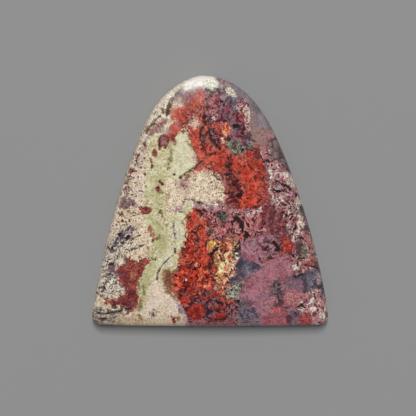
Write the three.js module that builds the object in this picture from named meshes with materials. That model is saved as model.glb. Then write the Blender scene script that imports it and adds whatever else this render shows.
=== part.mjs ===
// A red moss agate cabochon: one polished stone, cut as a lopsided arch with a nearly straight foot.
// It has a flat back with a narrow bevel, an upright girdle wall and a low dome with rounded shoulders.
// Units are millimetres. The stone lies on its back, with +Z out of the dome and +Y towards the tip of
// the arch. The origin is the middle of the back.

import * as THREE from "three";

// Driving dimensions
const WIDTH = 42.5;
const LENGTH = 45.1;
const THICKNESS = 6.5;
const GIRDLE_TOP = 2.6; // height at which the upright wall turns into the dome
const BEVEL = 0.45; // of the back edge, across and up
const SHOULDER_RISE = 2.5; // part of the dome's height that is gained close to its edge

// Outline: the flanks swing in from the foot, and the arch sits a little left of the middle
const HALF_WIDTH = WIDTH / 2;
const HALF_LENGTH = LENGTH / 2;
const TIP_X = -1.26;
const FOOT_Y = -22.35; // where the foot meets its corners
const FOOT_SAG = 0.4; // how far the foot's control point hangs below that
const LEFT_CORNER = { wallY: -20.4, footX: -19.1 };
const RIGHT_CORNER = { wallY: -20.5, footX: 19.2 };
const LEFT_SHOULDER = { x: -11.7, y: 13.8 };
const RIGHT_SHOULDER = { x: 10.7, y: 13.9 };

// Dome: each ring is the outline near the edge, and turns into an ellipse towards the middle
const CENTRE = new THREE.Vector2(0, -3.2);
const CORE_RADIUS_X = 16.5;
const CORE_RADIUS_Y = 20;
const OUTLINE_HOLD = 3; // power with which the rings keep the outline's shape
const SHOULDER_POWER = 16; // higher values give a tighter shoulder
const DOME_RINGS = [1, 0.998, 0.991, 0.979, 0.96, 0.93, 0.885, 0.81, 0.7, 0.55, 0.38, 0.2];

// Points along each stretch of the outline, in the order in which they are drawn
const FOOT_STEPS = 22;
const CORNER_STEPS = 8;
const FLANK_STEPS = 30;
const ARCH_STEPS = 22;

function outlinePoints() {
  const path = new THREE.Path();
  path.moveTo(LEFT_CORNER.footX, FOOT_Y);
  path.quadraticCurveTo(0, FOOT_Y - FOOT_SAG, RIGHT_CORNER.footX, FOOT_Y);
  path.bezierCurveTo(20.4, FOOT_Y, HALF_WIDTH, -21.7, HALF_WIDTH, RIGHT_CORNER.wallY);
  path.bezierCurveTo(20.0, -9.7, 14.9, 6.2, RIGHT_SHOULDER.x, RIGHT_SHOULDER.y);
  path.bezierCurveTo(7.7, 19.3, 3.7, HALF_LENGTH, TIP_X, HALF_LENGTH);
  path.bezierCurveTo(-3.4, HALF_LENGTH, -8.8, 20.5, LEFT_SHOULDER.x, LEFT_SHOULDER.y);
  path.bezierCurveTo(-16.7, 2.2, -18.6, -5.6, -HALF_WIDTH, LEFT_CORNER.wallY);
  path.bezierCurveTo(-HALF_WIDTH, -21.6, -20.3, FOOT_Y, LEFT_CORNER.footX, FOOT_Y);
  const steps = [
    FOOT_STEPS, CORNER_STEPS, FLANK_STEPS, ARCH_STEPS, ARCH_STEPS, FLANK_STEPS, CORNER_STEPS,
  ];
  return path.curves.flatMap((curve, i) => curve.getPoints(steps[i]).slice(0, -1));
}

// The outline pulled in towards the centre by a fixed distance, at height z.
function insetRing(outline, inset, z) {
  return outline.map((point) => {
    const out = point.clone().sub(CENTRE);
    out.setLength(out.length() - inset).add(CENTRE);
    return new THREE.Vector3(out.x, out.y, z);
  });
}

// The dome's height at a share of the way from the centre (0) to the edge (1).
function domeHeight(share) {
  const crownRise = THICKNESS - GIRDLE_TOP - SHOULDER_RISE;
  const shoulder = Math.sqrt(1 - share ** SHOULDER_POWER);
  return GIRDLE_TOP + SHOULDER_RISE * shoulder + crownRise * (1 - share ** 2);
}

function domeRing(outline, share) {
  const hold = share ** OUTLINE_HOLD;
  return outline.map((point) => {
    const edge = point.clone().sub(CENTRE);
    const angle = edge.angle();
    const core = new THREE.Vector2(CORE_RADIUS_X * Math.cos(angle), CORE_RADIUS_Y * Math.sin(angle));
    const spot = core.lerp(edge, hold).multiplyScalar(share).add(CENTRE);
    return new THREE.Vector3(spot.x, spot.y, domeHeight(share));
  });
}

// A closed skin from a bottom pole, through rings of equal length, to a top pole.
function skinGeometry(bottomPole, rings, topPole) {
  const count = rings[0].length;
  const vertices = [bottomPole, ...rings.flat(), topPole];
  const top = vertices.length - 1;
  const index = [];
  for (let i = 0; i < count; i++) {
    const next = (i + 1) % count;
    index.push(0, 1 + next, 1 + i);
    for (let ring = 0; ring < rings.length - 1; ring++) {
      const low = 1 + ring * count;
      const high = low + count;
      index.push(low + i, low + next, high + next);
      index.push(low + i, high + next, high + i);
    }
    const last = 1 + (rings.length - 1) * count;
    index.push(last + i, last + next, top);
  }
  const geometry = new THREE.BufferGeometry().setFromPoints(vertices);
  geometry.setIndex(index);
  geometry.computeVertexNormals();
  return geometry;
}

function cabochon() {
  const outline = outlinePoints();
  const rings = [
    insetRing(outline, BEVEL, 0),
    insetRing(outline, 0, BEVEL),
    ...DOME_RINGS.map((share) => domeRing(outline, share)),
  ];
  const backCentre = new THREE.Vector3(CENTRE.x, CENTRE.y, 0);
  const crown = new THREE.Vector3(CENTRE.x, CENTRE.y, THICKNESS);
  const polishedAgate = new THREE.MeshStandardMaterial({
    color: "#a2796c",
    roughness: 0.12,
    metalness: 0,
  });
  const mesh = new THREE.Mesh(skinGeometry(backCentre, rings, crown), polishedAgate);
  mesh.name = "cabochon";
  return mesh;
}

const part = new THREE.Group();
part.add(cabochon());

export default part;
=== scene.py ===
# A red moss agate cabochon, seen from straight above on a plain grey surface.
# The stone is one closed mesh that stands for the CAD solid. Its markings are zones of mineral: each
# zone's outline is written in pixels of the 416 by 416 photograph, every vertex keeps its distance to
# the zones of each mineral, and the material's nodes roughen those edges and fill them with texture.

import math
from dataclasses import dataclass

import bpy
import numpy as np
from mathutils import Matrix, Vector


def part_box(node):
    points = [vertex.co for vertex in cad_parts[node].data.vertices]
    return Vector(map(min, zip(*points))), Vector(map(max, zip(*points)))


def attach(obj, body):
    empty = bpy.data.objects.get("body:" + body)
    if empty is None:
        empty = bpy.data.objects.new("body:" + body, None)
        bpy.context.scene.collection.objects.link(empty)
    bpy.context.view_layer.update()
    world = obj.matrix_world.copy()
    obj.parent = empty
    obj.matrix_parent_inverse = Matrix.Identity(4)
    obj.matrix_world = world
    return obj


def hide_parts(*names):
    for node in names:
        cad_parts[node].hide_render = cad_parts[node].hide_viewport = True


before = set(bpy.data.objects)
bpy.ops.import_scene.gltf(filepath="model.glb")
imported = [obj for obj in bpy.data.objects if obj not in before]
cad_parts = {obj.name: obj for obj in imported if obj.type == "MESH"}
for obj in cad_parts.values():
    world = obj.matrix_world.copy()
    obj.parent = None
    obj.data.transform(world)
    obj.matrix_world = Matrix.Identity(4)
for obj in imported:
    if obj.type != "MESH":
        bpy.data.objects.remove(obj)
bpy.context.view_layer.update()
node_low, node_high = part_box("cabochon")

# Units: the stone is worked out in millimetres, and Blender's own unit is the metre
MM = 0.001

# The photograph: its scale, and the place of its middle in the stone's frame
PHOTO_SIZE = 416
MM_PER_PX = 0.18
PHOTO_MIDDLE = np.array([-0.36, -1.287])
CAMERA_HEIGHT = 500.0

# The stone's sizes
HALF_WIDTH = (node_high.x - node_low.x) / 2 / MM
HALF_LENGTH = (node_high.y - node_low.y) / 2 / MM
THICKNESS = node_high.z / MM
GIRDLE_TOP = 2.6  # height at which the upright wall turns into the dome
BEVEL = 0.45
SHOULDER_RISE = 2.5
CROWN_RISE = THICKNESS - GIRDLE_TOP - SHOULDER_RISE
SHOULDER_POWER = 16

# Its outline: the tip, the foot and the points where the curves meet
TIP = (-1.26, HALF_LENGTH)
FOOT_Y = -22.35
FOOT_SAG = 0.4
LEFT_FOOT = (-19.1, FOOT_Y)
RIGHT_FOOT = (19.2, FOOT_Y)
LEFT_WALL = (-HALF_WIDTH, -20.4)
RIGHT_WALL = (HALF_WIDTH, -20.5)
LEFT_SHOULDER = (-11.7, 13.8)
RIGHT_SHOULDER = (10.7, 13.9)

# The rings of the dome turn from the outline into an ellipse round this centre
CENTRE = np.array([0.0, -3.2])
CORE_RADII = np.array([16.5, 20.0])
OUTLINE_HOLD = 3

# Mesh density: rings on the dome, down the wall, on the bevel and on the back
TOP_RINGS = 128
WALL_RINGS = 9
BEVEL_RINGS = 2
BACK_RINGS = TOP_RINGS // 2
BACK_GAP = 0.3  # between the bevel and the outer ring of the back
PROFILE_STEPS = 20000  # for measuring along the dome's profile

# Steps along the outline's curves, for measuring along them
LONG_STEPS = 600  # the foot and each flank
ARCH_STEPS = 400
CORNER_STEPS = 200

TINY = 1e-6  # keeps divisions from zero


# The stone's mesh

def bezier(points, steps):
    """Points along a Bezier curve of any degree, without its last point."""
    t = np.linspace(0, 1, steps, endpoint=False)[:, None]
    degree = len(points) - 1
    weights = [math.comb(degree, i) * t**i * (1 - t) ** (degree - i) for i in range(degree + 1)]
    return sum(weight * np.array(point) for weight, point in zip(weights, points))


def outline_curve():
    """The stone's outline from above, anticlockwise from the left end of the foot."""
    return np.concatenate([
        bezier([LEFT_FOOT, (0, FOOT_Y - FOOT_SAG), RIGHT_FOOT], LONG_STEPS),
        bezier([RIGHT_FOOT, (20.4, FOOT_Y), (HALF_WIDTH, -21.7), RIGHT_WALL], CORNER_STEPS),
        bezier([RIGHT_WALL, (20.0, -9.7), (14.9, 6.2), RIGHT_SHOULDER], LONG_STEPS),
        bezier([RIGHT_SHOULDER, (7.7, 19.3), (3.7, HALF_LENGTH), TIP], ARCH_STEPS),
        bezier([TIP, (-3.4, HALF_LENGTH), (-8.8, 20.5), LEFT_SHOULDER], ARCH_STEPS),
        bezier([LEFT_SHOULDER, (-16.7, 2.2), (-18.6, -5.6), LEFT_WALL], LONG_STEPS),
        bezier([LEFT_WALL, (-HALF_WIDTH, -21.6), (-20.3, FOOT_Y), LEFT_FOOT], CORNER_STEPS),
    ])


def outline_at(turns):
    """Points of the outline at shares of its length."""
    curve = outline_curve()
    closed = np.vstack([curve, curve[:1]])
    steps = np.linalg.norm(np.diff(closed, axis=0), axis=1)
    travelled = np.concatenate([[0], np.cumsum(steps)]) / steps.sum()
    return np.column_stack([np.interp(turns % 1, travelled, closed[:, i]) for i in range(2)])


def outward(spots):
    """Steps of one millimetre away from the centre."""
    out = spots - CENTRE
    return out / np.maximum(np.linalg.norm(out, axis=1), TINY)[:, None]


def dome_height(share):
    """Height of the dome at a share of the way from the centre (0) to the edge (1)."""
    shoulder = np.sqrt(np.clip(1 - share**SHOULDER_POWER, 0, 1))
    return GIRDLE_TOP + SHOULDER_RISE * shoulder + CROWN_RISE * (1 - share**2)


def even_shares(count):
    """Shares from 0 to 1 whose rings lie at equal steps along the dome's profile."""
    fine = 1 - np.linspace(1, 0, PROFILE_STEPS + 1) ** 3  # closer together near the edge
    run = np.diff(fine) * (HALF_WIDTH + HALF_LENGTH) / 2
    rise = np.diff(dome_height(fine))
    travelled = np.concatenate([[0], np.cumsum(np.hypot(run, rise))])
    return np.interp(np.linspace(0, travelled[-1], count + 1), travelled, fine)


def dome_spots(share, edge):
    """Places on the dome: rings like the outline near the edge, and like an ellipse near the centre."""
    out = edge - CENTRE
    angle = np.arctan2(out[:, 1], out[:, 0])
    core = np.column_stack([np.cos(angle), np.sin(angle)]) * CORE_RADII
    hold = (share**OUTLINE_HOLD)[:, None]
    return CENTRE + share[:, None] * (core * (1 - hold) + out * hold)


def square_net(rings):
    """A square net of points in nested rings: each point's ring, its turn round that ring, the net's
    cells, and the points of the outer ring in order."""
    side = 2 * rings + 1
    i, j = (axis.ravel() - rings for axis in np.meshgrid(*[np.arange(side)] * 2, indexing="ij"))
    ring = np.maximum(abs(i), abs(j))
    span = 8 * np.maximum(ring, 1)
    sides = [(j == -ring) & (i < ring), (i == ring) & (j < ring), (j == ring) & (i > -ring)]
    steps = [ring + i, 3 * ring + j, 5 * ring - i]
    turn = np.select(sides, steps, 7 * ring - j) / span
    turn[ring == 0] = 0
    numbers = np.arange(side * side).reshape(side, side)
    corners = [numbers[:-1, :-1], numbers[1:, :-1], numbers[1:, 1:], numbers[:-1, 1:]]
    cells = np.stack([corner.ravel() for corner in corners], axis=1)
    rim = np.flatnonzero(ring == rings)
    return ring, turn, cells, rim[np.argsort(turn[rim])]


def stone_mesh():
    """The points in millimetres, the faces, each point's depth under the dome, and the number of the
    back's first face."""
    ring, turn, dome_cells, rim = square_net(TOP_RINGS)
    share = even_shares(TOP_RINGS)[ring]
    spots = dome_spots(share, outline_at(turn))
    points = [np.column_stack([spots, dome_height(share)])]
    depths = [np.zeros(len(spots))]
    faces = dome_cells.tolist()
    total = len(spots)

    edge = outline_at(turn[rim])
    out = outward(edge)
    wall = [(0, z) for z in np.linspace(GIRDLE_TOP, BEVEL, WALL_RINGS + 1)[1:]]
    cuts = [BEVEL * step / BEVEL_RINGS for step in range(1, BEVEL_RINGS + 1)]
    slope = [(cut, BEVEL - cut) for cut in cuts]
    upper = rim
    for inset, z in wall + slope:
        points.append(np.column_stack([edge - out * inset, np.full(len(edge), z)]))
        depths.append(np.full(len(edge), GIRDLE_TOP - z))
        lower = total + np.arange(len(edge))
        total += len(edge)
        faces += np.stack([upper, lower, np.roll(lower, -1), np.roll(upper, -1)], axis=1).tolist()
        upper = lower

    ring, turn, back_cells, rim = square_net(BACK_RINGS)
    share = ring / BACK_RINGS
    edge = outline_at(turn)
    spots = dome_spots(share, edge - outward(edge) * (BEVEL + BACK_GAP))
    points.append(np.column_stack([spots, np.zeros(len(spots))]))
    depths.append(dome_height(share))
    first_back = len(faces)
    faces += (total + back_cells[:, ::-1]).tolist()
    lower = total + rim
    following = np.roll(lower, -1)
    a, b, c = upper[0::2], upper[1::2], np.roll(upper, -2)[0::2]
    for corners in ((a, lower, b), (b, lower, following), (b, following, c)):
        faces += np.stack(corners, axis=1).tolist()
    return np.concatenate(points), faces, np.concatenate(depths), first_back


# The map that colours are baked through. The front gets most of it, with the wall folded out
# round it, and the plainer back lies beside it on a smaller scale
FOLD_OUT = 1.3  # outward for each millimetre of height
FRONT_SCALE = 13.1 / 1024  # share of the map for each millimetre
BACK_SCALE = 5.2 / 1024
MAP_EDGE = 0.006


def add_bake_map(mesh, points, first_back):
    """Lays every face out flat, with none over another."""
    flat = points[:, :2] - CENTRE
    out = outward(points[:, :2])
    corners = np.empty(len(mesh.loops), np.int32)
    mesh.loops.foreach_get("vertex_index", corners)
    front = (flat + out * (THICKNESS - points[:, 2:]) * FOLD_OUT)[corners] * FRONT_SCALE
    back = flat[corners] * BACK_SCALE
    on_front = np.arange(len(corners)) < mesh.polygons[first_back].loop_start
    front += MAP_EDGE - front[on_front].min(0)
    back += (1 - MAP_EDGE) - back[~on_front].max(0)
    places = np.where(on_front[:, None], front, back)
    mesh.uv_layers.new(name="OFBake").uv.foreach_set("vector", places.astype(np.float32).ravel())


# Zones of mineral. Their corners, middles, radii and widths are in the photograph's pixels

REACH = 9.0  # how far from a shape its distance is still worked out


class Area:
    """A closed outline with straight sides."""

    def __init__(self, *corners):
        self.corners = np.array(corners, float)
        self.low = self.corners.min(0) - REACH
        self.high = self.corners.max(0) + REACH

    def distance(self, places):
        """Distance to the outline, positive inside."""
        nearest = np.full(len(places), np.inf)
        inside = np.zeros(len(places), bool)
        for a, b in zip(self.corners, np.roll(self.corners, -1, axis=0)):
            nearest = np.minimum(nearest, distance_to_segment(places, a, b))
            crosses = (a[1] > places[:, 1]) != (b[1] > places[:, 1])
            rise = b[1] - a[1] if b[1] != a[1] else 1.0
            inside ^= crosses & (places[:, 0] < a[0] + (b[0] - a[0]) * (places[:, 1] - a[1]) / rise)
        return np.where(inside, nearest, -nearest)


class Line:
    """A stroke of a given width through some points, with round ends."""

    def __init__(self, width, *points):
        self.radius = width / 2
        self.points = np.array(points, float)
        self.low = self.points.min(0) - self.radius - REACH
        self.high = self.points.max(0) + self.radius + REACH

    def distance(self, places):
        """Distance to the stroke's edge, positive inside."""
        pairs = zip(self.points[:-1], self.points[1:])
        nearest = [distance_to_segment(places, a, b) for a, b in pairs]
        return self.radius - np.min(nearest, axis=0)


class Spot:
    """An ellipse with its middle, its two radii and its turn in degrees."""

    def __init__(self, x, y, radius_x, radius_y=None, turn=0):
        self.middle = np.array([x, y], float)
        self.radii = np.array([radius_x, radius_y or radius_x], float)
        self.turn = math.radians(turn)
        self.low = self.middle - self.radii.max() - REACH
        self.high = self.middle + self.radii.max() + REACH

    def distance(self, places):
        """About the distance to the ellipse, positive inside."""
        cosine, sine = math.cos(self.turn), math.sin(self.turn)
        x, y = (places - self.middle).T
        out = np.column_stack([x * cosine + y * sine, y * cosine - x * sine])
        share = np.linalg.norm(out / self.radii, axis=1)
        slope = np.maximum(np.linalg.norm(out / self.radii**2, axis=1), TINY)
        return np.minimum(share * (1 - share) / slope, self.radii.min())


def distance_to_segment(places, a, b):
    """Distance to the straight stretch from a to b."""
    along = b - a
    share = np.clip((places - a) @ along / (along @ along), 0, 1)
    return np.linalg.norm(places - a - share[:, None] * along, axis=1)


def zone_distance(shapes, places):
    """Distance in pixels to the nearest edge of a set of shapes, positive inside one."""
    result = np.full(len(places), -REACH)
    for shape in shapes:
        near = np.flatnonzero(np.all((places > shape.low) & (places < shape.high), axis=1))
        result[near] = np.maximum(result[near], shape.distance(places[near]))
    return result


# Clear stone: right of the tip, along the right edge and in the lower right

MIST = [
    Area((232, 80), (244, 84), (256, 96), (266, 114), (274, 130), (270, 136), (262, 130), (254, 132),
         (250, 140), (248, 128), (250, 112), (244, 98), (236, 96)),
]
AMBER = [
    Area((252, 129), (258, 126), (264, 128), (269, 128), (274, 136), (270, 139), (266, 144), (260, 144),
         (254, 141), (250, 136)),
]
SMOKE = [
    Area((275, 136), (280, 144), (284, 152), (288, 160), (292, 169), (295, 177), (290, 174), (286, 170),
         (281, 164), (277, 161), (271, 158), (270, 150), (270, 143), (271, 139)),
    Area((293, 206), (299, 205), (303, 204), (307, 212), (310, 221), (313, 231), (306, 231), (303, 229),
         (306, 226), (303, 219), (300, 215), (296, 211), (293, 209)),
]
MAUVE = [
    Area((245, 236), (255, 234), (265, 234), (276, 237), (280, 243), (281, 251), (290, 252), (293, 256),
         (293, 264), (293, 272), (300, 276), (304, 281), (306, 291), (308, 298), (303, 302), (299, 306),
         (303, 312), (312, 313), (314, 328), (258, 328), (260, 318), (256, 311), (246, 307), (241, 300),
         (241, 286), (245, 279), (256, 272), (262, 269), (258, 264), (249, 262), (241, 257), (240, 250)),
    Area((124, 180), (128, 182), (130, 190), (129, 198), (132, 200), (136, 201), (137, 206), (131, 207),
         (125, 210), (120, 207), (119, 202), (123, 198), (124, 190)),
]
ROSY = [
    Area((264, 262), (275, 256), (288, 256), (293, 262), (293, 275), (280, 280), (266, 282), (256, 277)),
    Area((246, 282), (258, 279), (262, 288), (256, 296), (246, 294)),
    Spot(256, 304.5, 4, 5), Spot(250, 240, 4, 3), Spot(252, 258, 5, 4), Spot(267, 284, 6, 5),
]
SMOG = [
    Area((284, 280), (294, 279), (303, 281), (304, 290), (296, 292), (286, 290)),
    Area((240, 296), (248, 297), (250, 306), (246, 312), (240, 310)),
    Area((320, 284), (326, 287), (328, 300), (324, 304), (319, 294)),
]
SLATE = [
    Area((238, 260), (243, 258), (248, 262), (256, 264), (262, 268), (256, 270), (247, 268), (245, 273),
         (242, 277), (236, 279), (231, 284), (229, 283), (229, 279), (233, 275), (236, 272), (236, 268),
         (234, 266), (237, 263)),
    Area((292, 277), (298, 277), (303, 274), (308, 271), (314, 271), (323, 269), (327, 280), (325, 291),
         (319, 289), (314, 286), (309, 286), (309, 292), (304, 292), (303, 286), (303, 280), (297, 280)),
    Area((244, 312), (252, 309), (260, 313), (263, 320), (259, 328), (243, 328)),
    Area((290, 310), (296, 309), (300, 312), (300, 317), (297, 321), (296, 328), (289, 328), (288, 318)),
]
SHADE = [
    Area((274, 280), (280, 281.5), (281, 287), (284, 292), (284, 300), (281.5, 306), (277, 305), (277, 298),
         (273, 293), (269.5, 292), (271, 286)),
    Area((231, 304), (239, 300), (241, 308), (236, 314), (230, 312)),
    Area((293, 272), (300, 270), (304, 273), (298, 278), (292, 279)),
]
NAVY = [
    Area((235, 259), (246, 260.5), (256, 264.5), (259, 268), (251, 267.5), (244.5, 266.5), (241, 273),
         (238, 279), (232, 284), (229.5, 282), (233, 275), (236, 268)),
    Area((303, 281), (307, 279), (308.5, 285), (308, 292), (304.5, 292)),
]
FLUSH = [
    Area((262, 313), (270, 311.5), (279, 312.5), (287, 315), (288, 330), (262, 330)),
    Area((284, 293), (292, 291.5), (302, 294), (306, 298), (300, 304), (291, 303.5), (284, 300)),
]
HAZE_AND_GLINT = [
    # Pale bluish haze in the clear stone; this short upright stroke is a painted glint
    Line(5, (247, 266.5), (248, 273)),
    Spot(319.5, 279, 3.4, 4.5), Spot(262, 123, 4.5, 6, -20), Spot(246, 96, 3, 5, -30), Spot(311, 279, 4, 3),
    Spot(316, 277, 6, 4),
]
TAWNY = [
    Area((249, 116), (254, 112), (258, 118), (258, 126), (268, 129), (272, 134), (266, 140), (258, 138),
         (252, 136), (249, 130)),
    Spot(276, 153, 3, 5.5, -20),
]
VIOLET = [
    Area((222, 92), (228, 92), (234, 98), (239, 102), (241, 108), (240, 114), (235, 116), (230, 113),
         (226, 107), (222, 101)),
    Area((207, 89), (214, 89), (216, 93), (211, 96)),
    Area((240, 131), (247, 133), (250, 140), (248, 143), (242, 139)),
]

# Pale and green stone, with dark strokes in its lower left

CREAM = [
    Area((153, 120), (149, 138), (147, 160), (144, 182), (143, 205), (142, 215), (147, 222), (150, 232),
         (153, 243), (150, 252), (148, 262), (142, 272), (139, 285), (138, 300), (138, 330), (82, 330),
         (86, 300), (98, 250), (108, 215), (118, 180), (132, 140), (142, 118)),
    Area((186, 175), (188, 173), (192, 171), (200, 171), (207, 171), (213, 173), (219, 177), (222, 182),
         (223, 188), (224, 194), (224, 199), (220, 202), (212, 203), (206, 201), (200, 199), (193, 199),
         (188, 195), (184, 198), (180, 203), (177, 206), (174, 212), (170, 214), (166, 214), (163, 205),
         (163, 195), (166, 186), (170, 178), (178, 177)),
    Area((139, 309), (145, 300), (148, 287), (152, 278), (157, 272), (163, 270), (162, 283), (165, 288),
         (170, 292), (176, 298), (180, 305), (184, 312), (187, 318), (189, 330), (136, 330)),
    Area((184, 82), (181, 86), (179, 88), (176, 89), (175, 93), (173, 97), (170, 100), (169, 104),
         (172, 108), (171, 113), (168, 119), (163, 121), (158, 121), (152, 124), (147, 129), (143, 136),
         (134, 136), (144, 116), (152, 103), (160, 92), (172, 82), (180, 77)),
    Area((175, 101), (179, 99), (182, 102), (183, 105), (179, 107), (175, 108), (173, 111), (171, 109),
         (173, 105)),
]
BISQUE = [
    Area((141, 312), (147, 299), (151, 286), (157, 279), (161, 285), (170, 292), (177, 300), (183, 314),
         (174, 316), (162, 309), (152, 306), (146, 318)),
    Area((141, 148), (146, 150), (145, 165), (143, 182), (141, 200), (136, 210), (132, 198), (134, 180),
         (137, 162)),
    Area((155, 270), (162, 266), (161, 280), (155, 280)),
]
TAN = [
    Area((113, 316), (122, 314), (136, 316), (150, 318), (150, 330), (113, 330)),
    Spot(104, 305, 6, 4), Spot(148.5, 248.5, 3, 3.5), Spot(138, 256.5, 3, 2), Spot(137.5, 225.5, 5, 4),
    Spot(98, 299, 4),
]
SHELL = [
    Spot(185, 186, 7, 5), Spot(256.5, 212, 3.6, 2.8), Spot(212.5, 232, 4.5, 4),
]
RUST = [
    Area((247, 146), (256, 145), (262, 150), (264, 158), (268, 166), (269, 176), (270, 188), (273, 197),
         (271, 203), (264, 206), (261, 200), (264, 190), (265, 176), (263, 166), (258, 158), (250, 152)),
    Area((280, 236), (285, 234), (292, 237), (295, 243), (295, 250), (291, 253), (284, 254), (279, 256),
         (280, 248)),
]
LIME = [
    Area((173, 121), (171, 128), (170, 133), (159, 134), (157, 140), (157, 148), (160, 150), (166, 151),
         (170, 146), (172, 143), (177, 138), (178, 133), (183, 130), (187, 130), (188, 137), (191, 146),
         (196, 155), (197, 163), (193, 168), (187, 174), (183, 177), (175, 178), (168, 180), (165, 188),
         (163, 197), (162, 206), (166, 214), (171, 216), (176, 213), (181, 211), (184, 206), (186, 201),
         (191, 202), (192, 208), (190, 212), (186.5, 215), (186, 226), (185.5, 238), (183, 245), (181, 252),
         (179, 261), (176, 268), (170, 269), (163, 270), (157, 273), (152, 279), (148, 288), (145, 300),
         (142, 309), (137, 309), (138, 298), (139, 284), (142, 274), (147, 266), (150, 258), (151, 248),
         (153, 241), (150, 231), (146, 222), (143, 215), (148, 214), (152, 213), (150, 206), (144, 205),
         (145, 192), (146, 180), (147, 168), (148, 155), (148, 142), (150, 134), (157, 130), (164, 128),
         (168, 121)),
]
MOSS = [
    Area((152, 256), (156, 262), (154.5, 270), (151, 280), (148, 290), (145, 300), (142, 308), (139, 308),
         (139, 298), (141, 286), (142, 276), (146, 268)),
    Area((147, 217), (152, 214), (158, 220), (165, 230), (168, 240), (166, 250), (160, 255), (156, 246),
         (156, 236), (151, 226)),
    Area((156, 178), (163, 172), (163, 182), (160, 196), (157, 206), (152, 200), (152, 188)),
    Area((170, 262), (176, 256), (177, 262), (173, 268), (167, 269)),
    Line(3.2, (163.6, 270), (162.6, 276), (163.4, 283)),
    Spot(162, 202, 4, 5),
]
GLADE = [
    Area((179, 137), (183, 132), (187, 134), (190, 144), (195, 155), (196, 163), (190, 170), (183, 175),
         (176, 176), (171, 172), (173, 161), (174, 148)),
    Area((178, 214), (184, 212.5), (185, 222), (184, 232), (182, 243), (178, 249), (176.5, 240),
         (176, 228)),
    Area((160, 261), (168, 254), (174, 255), (170, 264), (162, 268), (157, 267)),
]
CHALK = [
    Line(1.8, (186, 203), (189.5, 206), (188, 210)),
    Spot(252, 232, 3, 1.5), Spot(247, 215, 3, 2), Spot(237, 211, 3, 1.5), Spot(166, 262, 4, 3.4),
    Spot(175.5, 247.5, 3.4), Spot(100, 307.5, 4, 2), Spot(175.5, 233, 4.6, 6), Spot(174, 225, 4),
    Spot(157, 319, 5, 3),
]
CHAFF = [
    Area((158, 131), (164, 127), (168, 124), (170, 128), (167, 132), (160, 134)),
    Area((175.5, 103), (178, 101), (181.5, 100.5), (182, 105), (179, 107.5), (175.5, 107)),
    Line(5, (149.5, 122.5), (156.5, 112), (164, 102), (172.3, 93), (179.5, 87)),
    Spot(168, 117, 3, 2.4), Spot(145, 139, 3, 4),
]
GRIT = [
    Area((141, 132), (149, 128), (148, 150), (146, 176), (143, 200), (138, 222), (120, 228), (106, 234),
         (118, 195), (130, 155)),
    Area((206, 171), (214, 173), (221, 179), (225, 188), (225, 199), (219, 203), (212, 201), (208, 188)),
]
PEPPER = [
    Area((121, 229), (134, 229), (134, 238), (127, 246), (123, 256), (118, 262), (117, 270), (119, 280),
         (124, 288), (125, 293), (118, 295), (110, 297), (96, 296), (98, 280), (103, 262), (108, 245),
         (114, 233)),
]
PITCH = [
    Area((109, 249), (112, 243.5), (117.5, 236.5), (123, 232), (130, 228), (134, 226.5), (135, 230),
         (131, 235), (128, 240), (121, 245), (116, 249.5), (111, 251.5)),
    Line(2, (104.5, 277), (109, 270.5)),
    Spot(112, 264, 3.4, 4.6, 30), Spot(129, 230, 3.4, 3),
]
DUSK = [
    Area((88, 309.5), (98, 308.5), (112, 309.5), (124, 307.5), (136, 305), (134, 309), (124, 312),
         (119, 315), (114, 320), (112, 330), (88, 330)),
    Line(3, (118, 309.5), (130, 307.5)),
]

# Red stone, and the moss of many colours at its right

CORAL = [
    Area((188, 91), (192, 88), (197, 86), (202, 87), (207, 90), (209, 96), (208, 101), (206, 107),
         (200, 109), (192, 107), (186, 104), (183, 100), (184, 96), (186, 93)),
]
BRICK = [
    Area((214, 202), (219, 201), (222, 204), (220, 206), (216, 206)),
    Area((172.5, 114), (176, 111), (181, 108), (185, 103), (191, 101), (198, 103), (205, 107), (206, 113),
         (204, 119), (209, 124), (215, 120), (221, 121), (223, 128), (224, 134), (227, 139), (224, 144),
         (227, 150), (229, 155), (236, 156), (243, 154), (247, 149), (252, 149), (258, 153), (262, 159),
         (265, 165), (266, 172), (266, 180), (267, 190), (264, 200), (259, 207), (250, 208), (241, 209),
         (236, 208), (228, 207), (226, 200), (225, 192), (224, 186), (221, 179), (216, 174), (208, 171),
         (200, 170), (194, 171), (190, 171), (195, 168), (197, 163), (196, 156), (193, 149), (190, 141),
         (187, 134), (187, 129), (182, 127), (179, 130), (176, 134), (173, 139), (171, 137), (172, 130),
         (174, 124), (173, 119)),
    Line(4.4, (177, 122), (173, 127), (170, 132), (169, 136)),
]
BLUSH = [
    Line(5, (186, 108), (178, 118), (173, 126)),
    Spot(176.5, 113, 6), Spot(200, 165, 3, 2.4), Spot(200, 98, 7, 8),
]
MEAL = [
    Area((189, 119.5), (192.5, 117), (197, 118), (199, 122), (197.5, 127), (193.5, 128.5), (190.5, 126.5)),
    Spot(171.5, 122, 2.6, 2.2), Spot(194.6, 155, 1.2, 4, -15), Spot(219.5, 178, 1.4, 1.6),
    Spot(188, 129.5, 1, 2.4),
]
OXBLOOD = [
    Area((125, 258), (128, 257), (132, 258), (134, 262), (138, 262), (141, 258), (146, 258), (149, 260),
         (147, 266), (143, 270), (141, 277), (139, 281), (136, 286), (138, 291), (139, 298), (137, 304),
         (134, 308), (129, 312), (128, 314), (126, 312), (128, 309), (124, 307), (119, 306), (113, 304),
         (107, 303), (104, 301), (105, 299), (110, 300), (116, 301), (118, 297), (122, 294), (127, 294),
         (127, 291), (124, 288), (121, 283), (119, 279), (117, 275), (116, 269), (118, 267), (122, 266),
         (125, 264)),
]
CLARET = [
    Area((117, 268), (124, 266), (128, 275), (130, 285), (136, 292), (137, 302), (128, 307), (118, 305),
         (108, 302), (118, 299), (127, 295), (122, 286)),
]
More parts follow.
